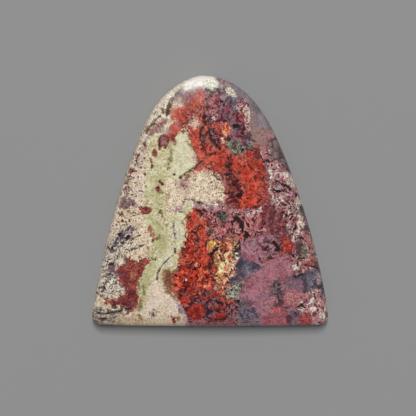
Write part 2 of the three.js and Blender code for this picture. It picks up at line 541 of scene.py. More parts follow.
EMBER = [
    Area((193.5, 210), (197, 209), (201, 213), (204, 219), (206, 226), (207.5, 234), (208, 241), (209, 248),
         (212, 254), (213.5, 261), (215, 269), (215.5, 278), (217, 286), (222, 291), (228, 294), (234, 299),
         (236, 304), (232, 308), (228, 313), (228, 330), (188, 330), (186.5, 318), (185, 311), (182.5, 306),
         (179.5, 301), (176.5, 295), (173.5, 290), (170.5, 284), (169.5, 277), (172, 273), (177, 269.5),
         (178, 263), (179.5, 257), (181.5, 251), (184, 245), (186, 239), (186.3, 230), (186.5, 219),
         (188, 213)),
]
CINDER = [
    Area((199, 296), (203, 291), (209, 290), (215, 290.5), (222, 294), (229, 297), (237, 301), (240, 307),
         (236, 313), (238, 330), (186, 330), (186.5, 320), (184.5, 311), (184, 306), (190, 303),
         (195, 298)),
]
FIRE = [
    Area((208, 242), (213, 238), (219, 241), (224, 241), (232, 240), (236, 242), (236, 250), (237, 256),
         (236, 262), (232, 268), (235, 271), (234, 275), (229, 278), (228, 284), (226, 288), (222, 290),
         (217, 286), (216, 280), (215, 270), (215, 262), (212, 254), (209, 248)),
]
MADDER = [
    Area((203, 212), (210, 209), (216, 207), (224, 207), (229, 208), (238, 208), (246, 209), (258, 208),
         (264, 205), (265, 212), (263, 218), (263, 226), (266, 234), (255, 236), (246, 237), (240, 242),
         (232, 241), (226, 239), (219, 241), (213, 238), (207, 238), (206, 228), (206, 220)),
    Area((226, 183), (233, 180), (237, 188), (242, 194), (240, 205), (230, 208), (226, 198)),
]
PLUM = [
    Area((295, 240), (300, 239), (302, 245), (301, 255), (297, 256), (295, 250)),
]
DUSKY = [
    Area((209, 95), (216, 93), (222, 94), (223, 101), (227, 108), (232, 114), (238, 116), (243, 112),
         (245, 120), (246, 130), (243, 134), (240, 140), (245, 144), (240, 141), (234, 139), (229, 139),
         (230.5, 134), (231, 128), (229, 123), (222, 121), (217, 119), (211, 121), (207, 117), (206, 108),
         (208, 100)),
]
CRIMSON = [
    Area((261, 205), (268, 201), (274, 203), (280, 209), (284, 216), (288, 224), (289, 232), (284, 234),
         (276, 236), (268, 234), (263, 226), (262, 215)),
    Area((209, 95), (215, 93), (220, 96), (221, 102), (217, 107), (212, 110), (209, 105)),
    Area((235, 112), (240, 113), (243, 117), (243, 123), (238, 124), (233, 119)),
    Area((297, 320), (302, 315), (309, 313), (314, 317), (313, 323), (308, 327), (298, 327)),
    Area((244, 147), (251, 145.5), (258, 146.5), (263, 151), (265, 160), (260, 160), (254, 158.5),
         (247, 154.5)),
    Line(2.4, (288, 250), (290, 256), (291, 262)), Line(3, (266, 178), (267, 188), (267, 197)),
    Line(4, (265, 184), (265.5, 196)),
]
WINE = [
    Area((225, 160), (228, 157), (231, 160), (231, 167), (235, 171), (238, 178), (240, 186), (243, 192),
         (243, 197), (241, 204), (240, 210), (231, 209), (229, 203), (229, 196), (228.5, 188), (228, 180),
         (227, 172), (224, 166)),
]
RIFT = [
    Area((207.5, 128), (212, 126.5), (215, 131), (218, 136), (221, 142), (221.5, 149), (218.5, 150.5),
         (214.5, 147), (211, 142), (208.5, 136)),
    Area((203.5, 133), (206, 131), (207, 137), (206.5, 143), (204, 143)),
    Area((243, 133), (246, 131), (249, 134), (250, 138), (246, 140), (242, 137)),
    Area((231, 124), (235, 122.5), (240, 124), (242, 128), (239, 131), (234, 130)),
    Line(2.2, (218.5, 121), (219, 126), (220.5, 131)),
]
LACE = [
    Area((304, 297), (309, 291), (314, 291), (319, 292), (323, 300), (330, 310), (331, 320), (327, 330),
         (313, 328), (312, 318), (310, 312), (303, 312), (298, 308), (303, 303)),
    Area((242, 100), (247, 99), (249, 104), (250, 112), (251, 118), (249, 126), (248, 132), (245, 133),
         (244, 126), (244, 118), (242, 112), (238, 109)),
    Area((265, 146), (268, 142), (270, 148), (271, 158), (277, 161), (281, 165), (285, 170), (291, 174),
         (297, 180), (301, 190), (304, 200), (297, 205), (292, 208), (294, 212), (300, 216), (304, 222),
         (305, 228), (304, 231), (312, 231), (317, 243), (320, 256), (322, 264), (316, 268), (306, 271),
         (300, 275), (295, 277), (292, 272), (291, 264), (291, 256), (296, 252), (296, 245), (294, 238),
         (290, 232), (289, 225), (285, 217), (281, 210), (277, 203), (273, 196), (270, 188), (268, 180),
         (266, 172), (266, 165), (264, 160), (263, 153)),
]
SAGE = [
    Area((226, 141), (232, 139.5), (238, 142), (243, 145), (249, 144), (255, 146), (250, 149), (244, 151),
         (241, 155), (236, 155), (230, 151), (227, 147)),
    Area((299.5, 243), (304, 243), (307.5, 249), (308, 256), (304, 261), (300, 257), (301, 250)),
    Area((231, 252), (236, 249), (238, 254), (236, 260), (233, 260)),
]
REED = [
    Area((226, 287), (231, 287), (234, 284), (238, 284), (241, 281), (243, 284), (241, 288), (239, 291),
         (237, 292), (237, 299), (231, 300), (227, 297), (229, 291)),
    Line(1.6, (238, 286), (243, 283)),
    Spot(227.5, 293.5, 2),
]
SCARLET = [
    Area((241, 170), (247, 165), (254, 172), (257, 182), (257, 194), (255, 204), (247, 207), (241, 206),
         (241, 199), (246, 196), (247, 187), (243, 180)),
    Area((211, 157), (217, 155), (222, 160), (223, 168), (219, 172), (213, 168), (210, 163)),
    Area((247, 152), (254, 153), (260, 159), (264, 166), (262, 170), (256, 168), (250, 161)),
    Area((193, 211), (196, 210), (198.5, 214), (197.5, 219), (194, 219.5), (192, 216)),
    Area((190, 222), (194, 221), (197, 224), (195, 228), (191, 228)),
    Area((199, 230), (203, 229.5), (205.5, 234), (204.5, 240), (203.5, 246), (200, 244), (198.5, 237)),
    Area((200, 256), (204, 252), (209, 254), (208.5, 259), (205, 264), (200.5, 262)),
    Area((239, 196), (245, 194), (254, 195), (258.5, 199), (257.5, 205), (252, 208), (243, 207.5),
         (239, 203)),
    Area((283, 238.5), (287, 236.5), (291, 239), (293, 243), (292.5, 247.5), (289, 250.5), (284.5, 249),
         (283, 244)),
    Spot(225, 267.5, 1.6, 1.8), Spot(236, 167, 3, 4),
]
CHERRY = [
    Area((187, 288), (190, 285), (193, 287), (192, 293), (189, 296), (186, 294)),
    Area((188, 310), (191, 305.5), (196, 302), (201, 302), (204, 304.5), (204.5, 311), (203, 317),
         (197, 321), (190, 319), (187.5, 315)),
    Area((201, 298), (203.5, 295), (207.5, 295.5), (209.5, 298), (207, 300.5), (202.5, 301)),
    Area((209.5, 296), (212, 292.5), (216, 291.5), (220.5, 293), (221, 295.5), (216, 297.5), (211.5, 298)),
    Area((219, 300), (224, 298.8), (230, 300.5), (235, 302.5), (231, 304), (224, 303)),
    Area((209.5, 305), (215, 304), (222, 306), (229, 307.5), (231, 309), (225, 309.5), (216, 309),
         (211, 308)),
    Area((212, 318), (215, 313), (221, 311.5), (226, 311.8), (227.5, 315), (223.5, 319.5), (216, 321)),
    Area((180, 296), (184.5, 296), (188, 300), (186.5, 304.5), (182.5, 303)),
    Spot(191, 255, 4), Spot(196, 288, 4, 3), Spot(259.5, 176, 3, 5),
]
BERRY = [
    Area((190, 319), (205, 321), (220, 321), (234, 318), (236, 330), (190, 330)),
    Line(2.4, (152, 312), (155, 318)), Line(5, (150.5, 134.5), (155, 130.5), (160, 126.5), (166, 121.5)),
    Spot(166, 142, 2, 4), Spot(184, 184, 3.5, 3), Spot(173.7, 141.4, 2, 2.2),
    Spot(165.3, 142, 3.4, 6.5, 10), Spot(275.5, 304, 3, 2.4),
]
ORANGE = [
    Line(2.6, (236.5, 240.5), (240, 237), (242.5, 235)),
    Spot(287, 242, 1.6, 2.6, 20), Spot(213, 116.5, 1.2, 2.2), Spot(214, 164, 2.2, 2),
    Spot(229, 186, 1.4, 1.8), Spot(194, 106, 3.6, 3), Spot(229, 187, 2.8, 3.4), Spot(182, 254, 2.8),
    Spot(183, 262.5, 3), Spot(195, 226, 2.6, 3), Spot(222, 171, 2.4, 2.6),
]
BLAZE = [
    Area((222.5, 125), (226, 122.5), (230, 124), (231, 128.5), (229.5, 133.5), (226.5, 137), (224, 133),
         (222, 129)),
    Area((226, 243), (229, 242), (232, 244.5), (232.5, 249), (229.5, 251), (227, 247.5)),
    Area((224, 266), (227, 265), (227, 269), (224.5, 270)),
    Line(2.2, (206.5, 286.5), (210, 285)), Line(1.8, (226, 300.5), (231, 301.5)),
    Spot(213.5, 243.5, 1.6, 1.2), Spot(214, 205, 2, 1.2), Spot(207, 264, 2, 2.4),
]
FRILL = [
    Area((191, 203), (196, 202.5), (202, 204), (209, 205), (215, 204.5), (220, 204), (226, 207), (226, 211),
         (219, 210.5), (212, 211.5), (205, 210), (198, 209), (193, 208)),
    Area((180.5, 203), (183, 198), (187, 195), (190.5, 196.5), (190, 199.5), (186.5, 200), (184.5, 204),
         (182, 208), (178, 211), (173, 213), (171, 211), (175, 207)),
    Area((228, 208), (234, 207), (241, 211), (248, 211.5), (255, 210), (261, 207), (262, 211), (256, 215.5),
         (247, 217), (238, 214), (230, 212)),
    Area((181, 180), (186, 182), (188, 186), (184, 188.5), (180.5, 185.5)),
    Line(3, (289, 207), (292, 212)),
    Spot(279, 201, 2.4, 3), Spot(268.5, 175, 2.2, 4), Spot(290.5, 227, 2.6, 1.8), Spot(216, 204, 4, 2.6),
    Spot(279, 197, 4.4, 4), Spot(250, 243.5, 3.4, 2),
]
SALMON = [
    Area((272, 309), (277, 307.5), (283, 309), (284.5, 311.5), (278, 313), (273, 312.5)),
    Area((301, 317), (306, 315), (311, 317), (309, 322), (303, 323)),
    Line(2.2, (286, 303.5), (291, 305.5), (297, 306)), Line(1.6, (306, 265.5), (311, 263), (315, 260)),
]

# Small marks that lie over the rest

LILAC = [
    Line(2.8, (176, 301), (181, 309), (185, 316), (187.5, 325)), Line(1.4, (255, 249), (259, 246.5)),
    Line(1.2, (260, 310), (263, 313), (266, 317)), Line(1.8, (236, 243), (236.5, 239)),
    Line(1.2, (189, 118), (190.5, 122)),
    Spot(319, 279, 3, 5), Spot(128, 232.5, 2.4, 1.6), Spot(215, 288.5, 1.8, 1.4),
    Spot(201, 204.5, 2.4, 1.4), Spot(212, 207, 3, 1.8), Spot(281.5, 188, 1.4, 1),
    Spot(279.5, 187, 3.8, 2.2, 20), Spot(162, 131, 3.2, 1.8), Spot(266, 149, 2.2, 2.4),
    Spot(224, 97, 3.4, 3), Spot(252, 241.5, 3.6, 3), Spot(208, 92, 2.6, 2.4), Spot(301, 302, 3, 2.4),
    Spot(271, 134.5, 4, 3.6), Spot(222, 80, 3.4, 2.2),
]
PEACH = [
    Line(1.4, (197.5, 233), (200, 236)), Line(2.2, (230, 245), (231.5, 249)),
    Line(2.4, (228.5, 265), (229.5, 269)), Line(1.4, (215, 255), (217, 260)),
    Line(1.3, (224.5, 131), (225.8, 135)), Line(2.2, (222, 256), (223.5, 260)),
    Spot(200.5, 218.5, 1, 2), Spot(223, 141, 1.3, 2.3), Spot(195.6, 265.3, 1.9),
    Spot(205.5, 286.5, 2.2, 1.4, -20), Spot(228, 272, 1.4, 1.6), Spot(221.5, 275.5, 2, 2.4),
    Spot(223, 270, 2.4, 3), Spot(231, 261, 2.4, 2.6),
]
ROSE = [
    Area((285, 292), (290, 290), (297, 291), (303, 293), (307, 294), (308, 298), (303, 302), (299, 305),
         (294, 305), (288, 303), (284, 299)),
    Line(1.6, (216, 85), (219, 83), (222, 80)), Line(3.4, (308, 258), (313, 258.5), (318, 261)),
    Line(2.6, (305, 236), (309, 241), (313, 247)),
    Line(1.6, (200, 208), (207, 209.5), (214, 211), (220, 210.5), (227, 209.5), (234, 210.5), (243, 211.5)),
    Line(1.4, (228, 212), (229, 218), (231.5, 223)),
    Line(2, (239, 107.5), (244, 110), (246, 115), (246.5, 123), (246, 131.5)),
    Line(2.4, (270, 139.5), (267, 144), (264.5, 150), (264, 155), (266.5, 160)),
    Line(1.6, (250, 112), (251, 117)), Line(1.8, (152, 131), (156, 128.5), (160, 124)),
    Line(1.3, (258, 299), (262.5, 303), (261.5, 309), (257, 312.5)),
    Line(1.3, (264.5, 300), (268.5, 303), (266, 308), (269, 312), (264.5, 316), (260, 314)),
    Line(2.4, (268, 132), (272, 135.5), (274, 137)), Line(1.8, (238, 215), (244, 215.5)),
    Line(1.4, (158, 131), (163, 128)), Line(2.8, (264.5, 145), (266.5, 150), (266, 154)),
    Line(2.4, (268, 171), (268, 180)),
    Spot(236.7, 227.5, 2.4, 7, -8), Spot(214.5, 106, 3.2, 1.6), Spot(210, 118, 1.8, 2),
    Spot(214, 97, 2.4, 2), Spot(253, 229, 2.4, 2), Spot(220.5, 234.5, 3, 2), Spot(285, 200, 3.4, 2.8),
    Spot(299, 203, 2.4, 2), Spot(210, 102, 4, 3.4), Spot(213, 112, 3.4, 2.8), Spot(250, 241, 4, 3),
    Spot(200, 217, 2.4, 2.8), Spot(241, 215, 3, 2.4), Spot(208, 120, 2.2, 2.6), Spot(255, 229, 3.2, 2.8),
    Spot(310, 310, 3, 2.4), Spot(205, 171, 2.6, 1.6), Spot(224.5, 183, 2.4, 3), Spot(269, 259, 3.4, 2.6),
    Spot(257, 222, 2.6, 2.4), Spot(265, 249.5, 2.6, 2.2), Spot(250.5, 242, 3, 2), Spot(304, 264, 2.8, 2.2),
]
OLIVE = [
    Line(1.1, (186, 140), (188.5, 144), (190.5, 147)), Line(2, (139, 315.5), (141, 318), (143, 320)),
    Line(1.2, (180, 211), (184, 212), (187, 213.5), (190, 214.5)),
    Line(3.4, (171.2, 151.8), (170.8, 157), (169.2, 163), (168, 166.5)),
    Line(2, (140.5, 300), (140.5, 307)), Line(2.4, (170, 160), (168.5, 168)),
    Line(3.2, (139.4, 286), (139, 294)), Line(1.6, (143.5, 284), (144, 296)),
    Spot(158.5, 237.5, 2.6, 2.4), Spot(182.5, 222, 1.4), Spot(152, 258, 2.4, 1.8), Spot(161.5, 192.5, 1.8),
    Spot(148, 248, 1.4, 1.8),
]
UMBER = [
    Line(2.2, (127, 175), (131, 178), (128, 180)),
    Line(1.1, (160, 210), (161, 214), (163, 217), (165, 220)), Line(1.5, (174.5, 250), (175, 253)),
    Line(0.9, (160, 270), (157, 273), (157, 278)),
    Line(0.9, (124, 253), (127, 251), (131, 249.5), (136, 248), (140, 247)),
    Line(1, (121, 211), (122, 212)), Line(1, (118, 213), (122, 215)),
    Line(1.6, (163, 107), (162, 110), (163.5, 113)), Line(2.8, (149, 127.5), (146, 131.5)),
    Line(1.2, (209, 172.5), (214, 175.5), (219, 180)),
    Line(3.2, (182, 88.5), (178, 93.5), (173.5, 99), (170, 104)),
    Line(4.2, (169.5, 104), (168.2, 109), (167.5, 113.5)),
    Line(3.4, (156, 121), (152.5, 124), (149.5, 127)),
    Spot(159.8, 205, 1.1), Spot(155.5, 259, 1), Spot(158.5, 260, 1), Spot(126.5, 224.5, 1),
    Spot(211.5, 230.5, 3.2, 2.4), Spot(181, 211.5, 2, 1.4), Spot(159, 117, 3, 2, -30),
    Spot(162.5, 108.5, 2, 1.4), Spot(155, 113, 1.6, 2.2, 35),
]
TOAST = [
    Line(2.8, (149.5, 227), (151, 231.5), (153.5, 236.5), (153, 240.5)),
    Line(2.2, (119, 206), (119.5, 209)), Line(2.4, (228, 237), (232, 234), (235, 236)),
    Line(2.4, (171.8, 275), (171.8, 284), (174, 290.5), (178, 296)),
    Spot(177, 270, 1.8), Spot(151, 210.5, 1.8, 2), Spot(176, 272, 3.4, 2.6), Spot(151.3, 160.5, 1.3, 2),
    Spot(186.5, 232, 2, 3), Spot(183, 131.5, 2.4, 1.4), Spot(178, 318, 1.8, 3), Spot(133, 276, 3, 3.4),
    Spot(139, 257.5, 1.8, 1.4), Spot(138, 292, 1.8, 3), Spot(141, 299, 1.8, 3), Spot(159, 149, 2.4, 2),
]
HUSK = [
    Area((163.5, 271), (168, 269), (171, 272), (171, 280), (171, 286), (173.5, 292), (177.5, 298),
         (174, 299), (169, 295), (165.5, 291), (163.6, 284), (162.8, 277)),
    Line(1.6, (138.5, 282), (139, 288)), Line(2.2, (137.5, 304), (138.5, 309)),
    Line(2, (212.5, 251), (214.5, 256), (216, 261)),
    Spot(160.2, 190.6, 1.6), Spot(185, 179, 3.6, 2.4, -30), Spot(148, 204, 2.4, 1.6),
    Spot(187, 176, 3.4, 2.8), Spot(214, 264, 2.2, 3), Spot(298, 261, 1.8, 2), Spot(234, 241, 2.6, 2),
    Spot(216, 261, 2.4, 3),
]
GRAPE = [
    Line(2.6, (127, 181), (126.5, 188), (127, 196)), Line(2.6, (130.5, 171.5), (135, 170)),
    Line(3, (119, 311), (125, 309.5), (130, 308)),
    Spot(125, 204, 5.6, 4.8), Spot(135, 203.5, 2, 2.6), Spot(144.5, 144, 1.6, 3, 15),
    Spot(138, 158, 2.2, 1.6), Spot(142, 151.5, 1.4, 2), Spot(136.5, 164.5, 1.6), Spot(113, 268, 4, 5, 20),
    Spot(152, 313.5, 2.2, 3.4), Spot(130.5, 202, 3.4, 3), Spot(126, 261, 3.4), Spot(128, 191, 2.2, 2.6),
    Spot(249, 303, 5, 4), Spot(125, 199, 3), Spot(180, 311, 1.6, 2), Spot(118, 275, 2.6, 3),
    Spot(110, 292, 1.8, 1.6), Spot(132, 231, 2, 1.8),
]
GARNET = [
    Area((130, 170), (134, 169), (136, 170), (133, 173), (130, 174)),
    Line(3, (172.5, 317), (174.5, 322)), Line(2.2, (136, 307), (132, 310), (128, 313.5)),
    Line(2.4, (306, 265), (310, 266)), Line(1.2, (171.8, 139.8), (174, 138.6), (175.8, 141), (174.5, 144)),
    Line(1.4, (262.6, 262.5), (267, 260), (272, 258.5), (280, 256), (287, 258), (294, 262)),
    Line(1.4, (263, 250), (268, 247.5), (272, 249), (275, 243)),
    Line(1.2, (306, 256), (311, 259), (314, 264)), Line(1.4, (303, 264), (309, 267), (313, 264)),
    Line(2, (218, 81), (222, 79.5), (224, 82)), Line(1.8, (241.5, 108), (243, 116), (243.5, 124)),
    Line(1.2, (203, 170), (208, 170.5)),
    Spot(238.5, 137, 3, 2.6), Spot(214, 276, 1.8, 2), Spot(276, 191, 1.8), Spot(318, 311, 1.6, 2),
    Spot(193.5, 292, 2, 1.6), Spot(189, 256, 2), Spot(196.5, 241, 3.4, 4), Spot(216, 306, 4, 2.8),
    Spot(129, 301, 2.6, 2), Spot(279.5, 240, 2.6, 3), Spot(214, 281, 3), Spot(186, 295, 3, 2.6),
    Spot(289, 239, 3, 2.2), Spot(256, 159, 3.4, 2.4), Spot(242, 157, 3.4, 2.4), Spot(285, 222, 2.6, 3),
    Spot(264, 232, 2.2, 2), Spot(210.5, 148, 2.8, 2.2), Spot(196, 288, 2.2, 2), Spot(221, 136, 2, 2.8),
    Spot(209, 299, 3, 1.8),
]
BLOOD = [
    Line(2.4, (160, 181.5), (162.8, 184.5)), Line(2, (162, 136.5), (167, 135)),
    Line(2, (168.5, 137), (168, 143), (165.5, 148)), Line(3.2, (161, 136.5), (159.6, 141), (160.2, 146)),
    Spot(154.7, 153.3, 2.9, 3.6, 15), Spot(152.2, 166, 1.2, 2), Spot(315, 304.3, 1.8, 1),
    Spot(316, 313.5, 2.6, 1.2), Spot(158, 189, 2.8, 3), Spot(145.3, 210.6, 5, 4.2), Spot(141, 208, 2.4, 2),
]
MAROON = [
    Area((296.5, 241), (301, 243), (304, 248), (302.5, 254), (300, 259.5), (297, 260), (296, 252)),
    Area((284, 217), (287, 216), (289, 220), (287.5, 224), (285, 222)),
    Line(2.6, (237, 134.5), (240, 138)), Line(1.8, (228, 200), (228, 206)),
    Line(2.5, (144, 143), (145, 147)),
    Spot(228, 113, 1.6), Spot(208, 107, 2, 1.8), Spot(140.5, 142.5, 1, 1.5), Spot(137.5, 154.5, 2.2, 1.8),
    Spot(142, 162.5, 1.3), Spot(152.5, 166.5, 1, 1.2), Spot(153, 240, 1.3), Spot(273, 190.5, 2.4, 2),
    Spot(263.5, 180, 2, 3), Spot(288, 232, 1.8, 2.4), Spot(259, 157, 2.2, 2), Spot(287, 307.5, 2.4, 1.6),
    Spot(272, 307, 2, 1.6), Spot(264, 169, 1.8, 2), Spot(289, 319, 4, 4.4), Spot(276, 305, 3.4, 2.6),
    Spot(272, 215, 4), Spot(249, 136, 2.6, 3), Spot(296, 314, 3, 2.6), Spot(194, 298, 3.8, 2.4),
    Spot(300.5, 248, 3.8, 7), Spot(242, 226, 3), Spot(281, 303, 2.6, 3), Spot(284, 229, 2.6, 2.4),
]
VEIL = [
    Area((180, 93), (184, 90), (189, 90), (190.5, 95), (189, 100), (186, 104), (182, 101), (181, 97)),
    Area((174, 97), (179, 95), (181, 99), (178, 102), (174, 101)),
    Line(2, (203, 86), (206, 92), (207, 98)),
    Spot(178, 124, 1.2, 1.8), Spot(190.5, 94, 6, 4.5), Spot(179, 102, 3.4, 3), Spot(170, 131, 3, 3.4),
]
CAP = [
    Area((182.5, 87), (185.5, 83), (189.5, 80), (194.5, 76.8), (200, 74.5), (205, 73.8), (210, 75),
         (214.5, 78.3), (217, 82), (216.8, 86), (215, 90), (212.5, 90), (209.5, 88.5), (206.5, 87.5),
         (203, 88), (199, 88.5), (194, 90), (189, 91), (184, 92)),
]
PARCH = [
    Area((205, 78), (210, 77), (214.5, 79.5), (216.5, 83), (216, 87), (214, 91), (211.5, 90.5), (209, 87.5),
         (206, 85), (204, 82)),
]
# White specks of quartz, and a few painted glints
MILK_AND_GLINTS = [
    Area((284, 173), (288, 173), (290, 177), (289, 180), (285, 178)),
    Line(1.6, (192, 201), (193, 206)), Line(3, (270.8, 171), (271, 177.5)),
    Line(1.2, (235, 262), (232, 268)), Line(1.6, (233, 275), (230, 277)),
    Line(1.2, (222.5, 139), (223.5, 142.5)),
    Spot(292.5, 184, 2, 3), Spot(295, 266.5, 2.8, 2.5), Spot(311.5, 301, 1.6, 3), Spot(313, 309, 3, 1.8),
    Spot(322, 316, 2.6, 3.5), Spot(236.5, 253, 1.8), Spot(237, 258, 1.2, 1.8),
    # Painted glints: the three small white spots on the next line, in the dark red near the tip
    Spot(213.6, 118.2, 1.9, 1.5, 20), Spot(217.6, 115.6, 0.8), Spot(211.6, 116.4, 0.7),
    Spot(299, 203, 3.2, 2.2), Spot(186.3, 280, 0.8), Spot(216, 205, 2.2, 1.4), Spot(282, 200.5, 1.6, 1.4),
    Spot(301.5, 302, 1.8, 1.4), Spot(202, 206, 1.6, 1.2),
]
IVORY = [
    Area((224, 88), (227, 88), (229.5, 86.5), (232, 88.5), (234.5, 91), (235.5, 95), (236.5, 98),
         (232, 95.5), (228, 94.5), (225, 93), (226, 90.5)),
    Line(2, (297, 230), (298.5, 234)), Line(2.2, (293, 236.5), (294, 240.5)),
    Line(1.6, (299, 216), (301, 219)), Line(1.4, (284, 173.5), (288, 175)),
    Line(1.6, (307, 252), (308.5, 257)), Line(1.4, (299, 206), (297, 211)),
    Line(1.6, (249.5, 112), (249, 117)), Line(1, (303, 246), (301, 250), (301.5, 256)),
    Line(1.2, (92, 315.5), (99, 315)),
    Spot(300, 201, 4.4, 3.2, -20), Spot(296.5, 267.5, 3, 2.6), Spot(292.5, 178, 2, 3),
    Spot(246, 101, 1.5, 1.4), Spot(103, 281, 2.6, 2), Spot(117, 289, 2.6, 2), Spot(289, 183, 1.8, 1.6),
    Spot(122, 249.5, 3, 1.8), Spot(166, 262, 3, 2.4), Spot(299.5, 223.5, 2.8, 2.6),
    Spot(175.5, 232, 2.8, 3.6), Spot(104, 265, 2.2, 2), Spot(190.5, 211, 1.6, 1.4),
    Spot(130.5, 248.5, 2.2, 1.4), Spot(222.5, 80, 1.6, 1.2), Spot(165.5, 262, 2.6, 2.4),
    Spot(156.5, 319, 3.4, 2.4), Spot(131, 166, 2.4, 2), Spot(137.5, 151, 2, 2.4), Spot(128, 246, 2.6, 2.2),
    Spot(169.5, 264, 2.4, 2), Spot(163, 259, 2.4, 2), Spot(138, 246.5, 2.4, 2),
]
GOLD = [
    Area((208.5, 243), (212, 240), (216, 240.5), (216.5, 244), (213, 247), (211.5, 250.5), (209, 250),
         (209.5, 246)),
    Line(1.8, (219.5, 274), (217.5, 279), (218.5, 281.5)),
    Spot(223, 293, 2, 1.6),
]
CANDLE = [
    Area((220.5, 262), (224, 262), (224, 267), (222.5, 271), (220, 273), (219.5, 269)),
    Line(1.8, (225.5, 256), (226.5, 262)), Line(1.4, (212, 242), (214.5, 242.5)),
]
SLUDGE = [
    Area((216.5, 213), (220, 211.5), (225, 211.5), (228, 214), (227, 218), (226.5, 223), (223, 223.5),
         (220, 219.5), (217, 217)),
    Spot(299, 241, 1.4, 2.2), Spot(242, 305, 2.6, 3),
]
SOOT = [
    Line(2.4, (215, 89), (224, 88.7)), Line(1.8, (207, 89), (213, 92.5), (218, 91)),
    Line(3, (203, 135), (204, 142)), Line(2.6, (305, 227), (309, 231)), Line(3, (316, 262), (318.5, 270)),
    Line(1.4, (230, 144), (233, 148), (238, 150)), Line(1.2, (234, 141), (236, 145)),
    Line(1.4, (268, 255), (276, 254)), Line(3.4, (304, 279), (306, 286), (305, 292)),
    Line(1.6, (177, 92.5), (173, 97), (170, 101)), Line(1.2, (164, 105), (166, 107)),
    Spot(305.5, 252.5, 2, 1.5), Spot(167.5, 111, 1.5, 2.2), Spot(250, 139.5, 2, 1.6),
    Spot(103, 291, 2, 1.6), Spot(309, 291, 2.4, 1.8), Spot(302, 230, 2.2, 2), Spot(232, 280, 1.6),
    Spot(295, 255, 1.8, 2), Spot(239.5, 252, 2.2, 2.4), Spot(310, 297, 2.2, 2.6), Spot(253, 141, 2, 1.6),
    Spot(300, 247, 2.6, 5),
]
INK = [
    Area((235, 195), (238, 192.5), (242, 193), (243, 196), (239, 198.5), (235.5, 198)),
    Area((245, 231), (249, 232), (250, 235), (247, 239), (244, 240), (244, 236)),
    Area((232.5, 217.5), (236.5, 216), (240.5, 219), (244, 223.5), (245, 229), (243, 234), (240.8, 231),
         (240, 225), (237, 221), (234, 221.5)),
    Line(1.6, (262, 158), (264, 162)), Line(2, (267, 160), (269, 163)), Line(1.6, (268, 166), (272, 165)),
    Line(2, (136, 161), (139, 164)), Line(2.6, (119, 234.5), (122, 234)),
    Line(1.8, (121, 244), (123.5, 242)), Line(3, (126, 238), (129, 236)),
    Line(1.8, (187, 218.5), (190, 218)), Line(2.6, (198, 210), (201, 212.5)),
    Line(1.2, (208.5, 207), (210, 210)), Line(1.8, (208, 236), (211, 233)),
    Line(1.2, (214, 237), (218, 240)), Line(3.8, (275.5, 244), (278.5, 249.5)),
    Line(2.6, (235, 246), (237, 251)), Line(2, (240, 243), (239.5, 248)),
    Line(1.8, (238, 250.5), (234, 252)), Line(1.2, (266, 251), (270, 249.5), (273, 247)),
    Line(1.4, (260, 258), (261.5, 262)), Line(1.4, (268.5, 258.5), (270, 256.5), (273, 258.5)),
    Line(1.4, (297, 307.5), (300, 306), (303, 304)), Line(1.8, (286, 200.5), (291, 204)),
    Line(1.6, (282, 212), (287, 215.5)), Line(2, (296, 226), (295, 229.5)),
    Line(2, (298, 238), (303, 238.5)), Line(1.8, (291, 254.5), (295, 257)), Line(2, (297, 262), (298, 266)),
    Line(2.4, (313, 266.5), (316.5, 267.5)), Line(1.3, (255, 216), (252, 220)),
    Line(1.6, (236, 213.5), (240, 214.5)), Line(1.8, (103, 283), (104, 288)),
    Line(1.8, (281, 203), (285, 205)),
    Line(1.3, (232, 222), (232.3, 227), (235, 232), (239, 235), (241, 231)),
    Line(1, (262.5, 243.5), (267, 241), (272, 240)),
    Line(1, (265, 249), (269, 246.5), (273, 247), (275, 244)), Line(1, (271, 256), (271.3, 259.5)),
    Line(1, (254, 252), (258, 249.5)), Line(1, (284, 260), (289, 259)),
    Line(1.8, (196, 209.5), (199.5, 212), (203.5, 214)), Line(1.8, (174, 248), (175, 252)),
    Line(2, (299, 275.5), (302, 273.5)), Line(4, (211, 255), (213.5, 251.5), (217, 248.5)),
    Line(1.7, (271, 186), (275, 190), (281, 191.5), (284, 189.5)),
    Line(2.4, (277, 181.5), (282, 184), (286, 186), (289.5, 188)),
    Spot(221, 101, 1.2), Spot(236, 126, 2.6, 2), Spot(243.5, 129, 1.8), Spot(174.3, 174.5, 0.9, 1.3),
    Spot(130, 227, 1.2), Spot(117, 238.5, 1.3), Spot(118.5, 247, 1), Spot(108.5, 248, 1.4),
    Spot(111, 264, 2.4, 1.6), Spot(122, 257, 0.9, 1.2), Spot(199.5, 202, 1, 1.4), Spot(204, 210, 1.6),
    Spot(264.5, 222.5, 1.2, 1.4), Spot(296.5, 195, 1.2, 2), Spot(289, 196.5, 1.5, 1.2),
    Spot(292, 214, 1.8, 1.4), Spot(238, 301, 2, 1.6), Spot(190.5, 300, 1), Spot(262.5, 235, 1),
    Spot(274, 242, 1.6), Spot(97, 293, 1.3), Spot(205, 117.3, 2.6, 1.5, -25),
    Spot(259.3, 259, 0.9, 1.6, 20), Spot(278, 248.5, 2.2, 2.6), Spot(277, 237.5, 1.4),
    Spot(295, 276.5, 2, 1.4), Spot(276, 250, 2), Spot(244.4, 166.8, 1, 1.8),
]
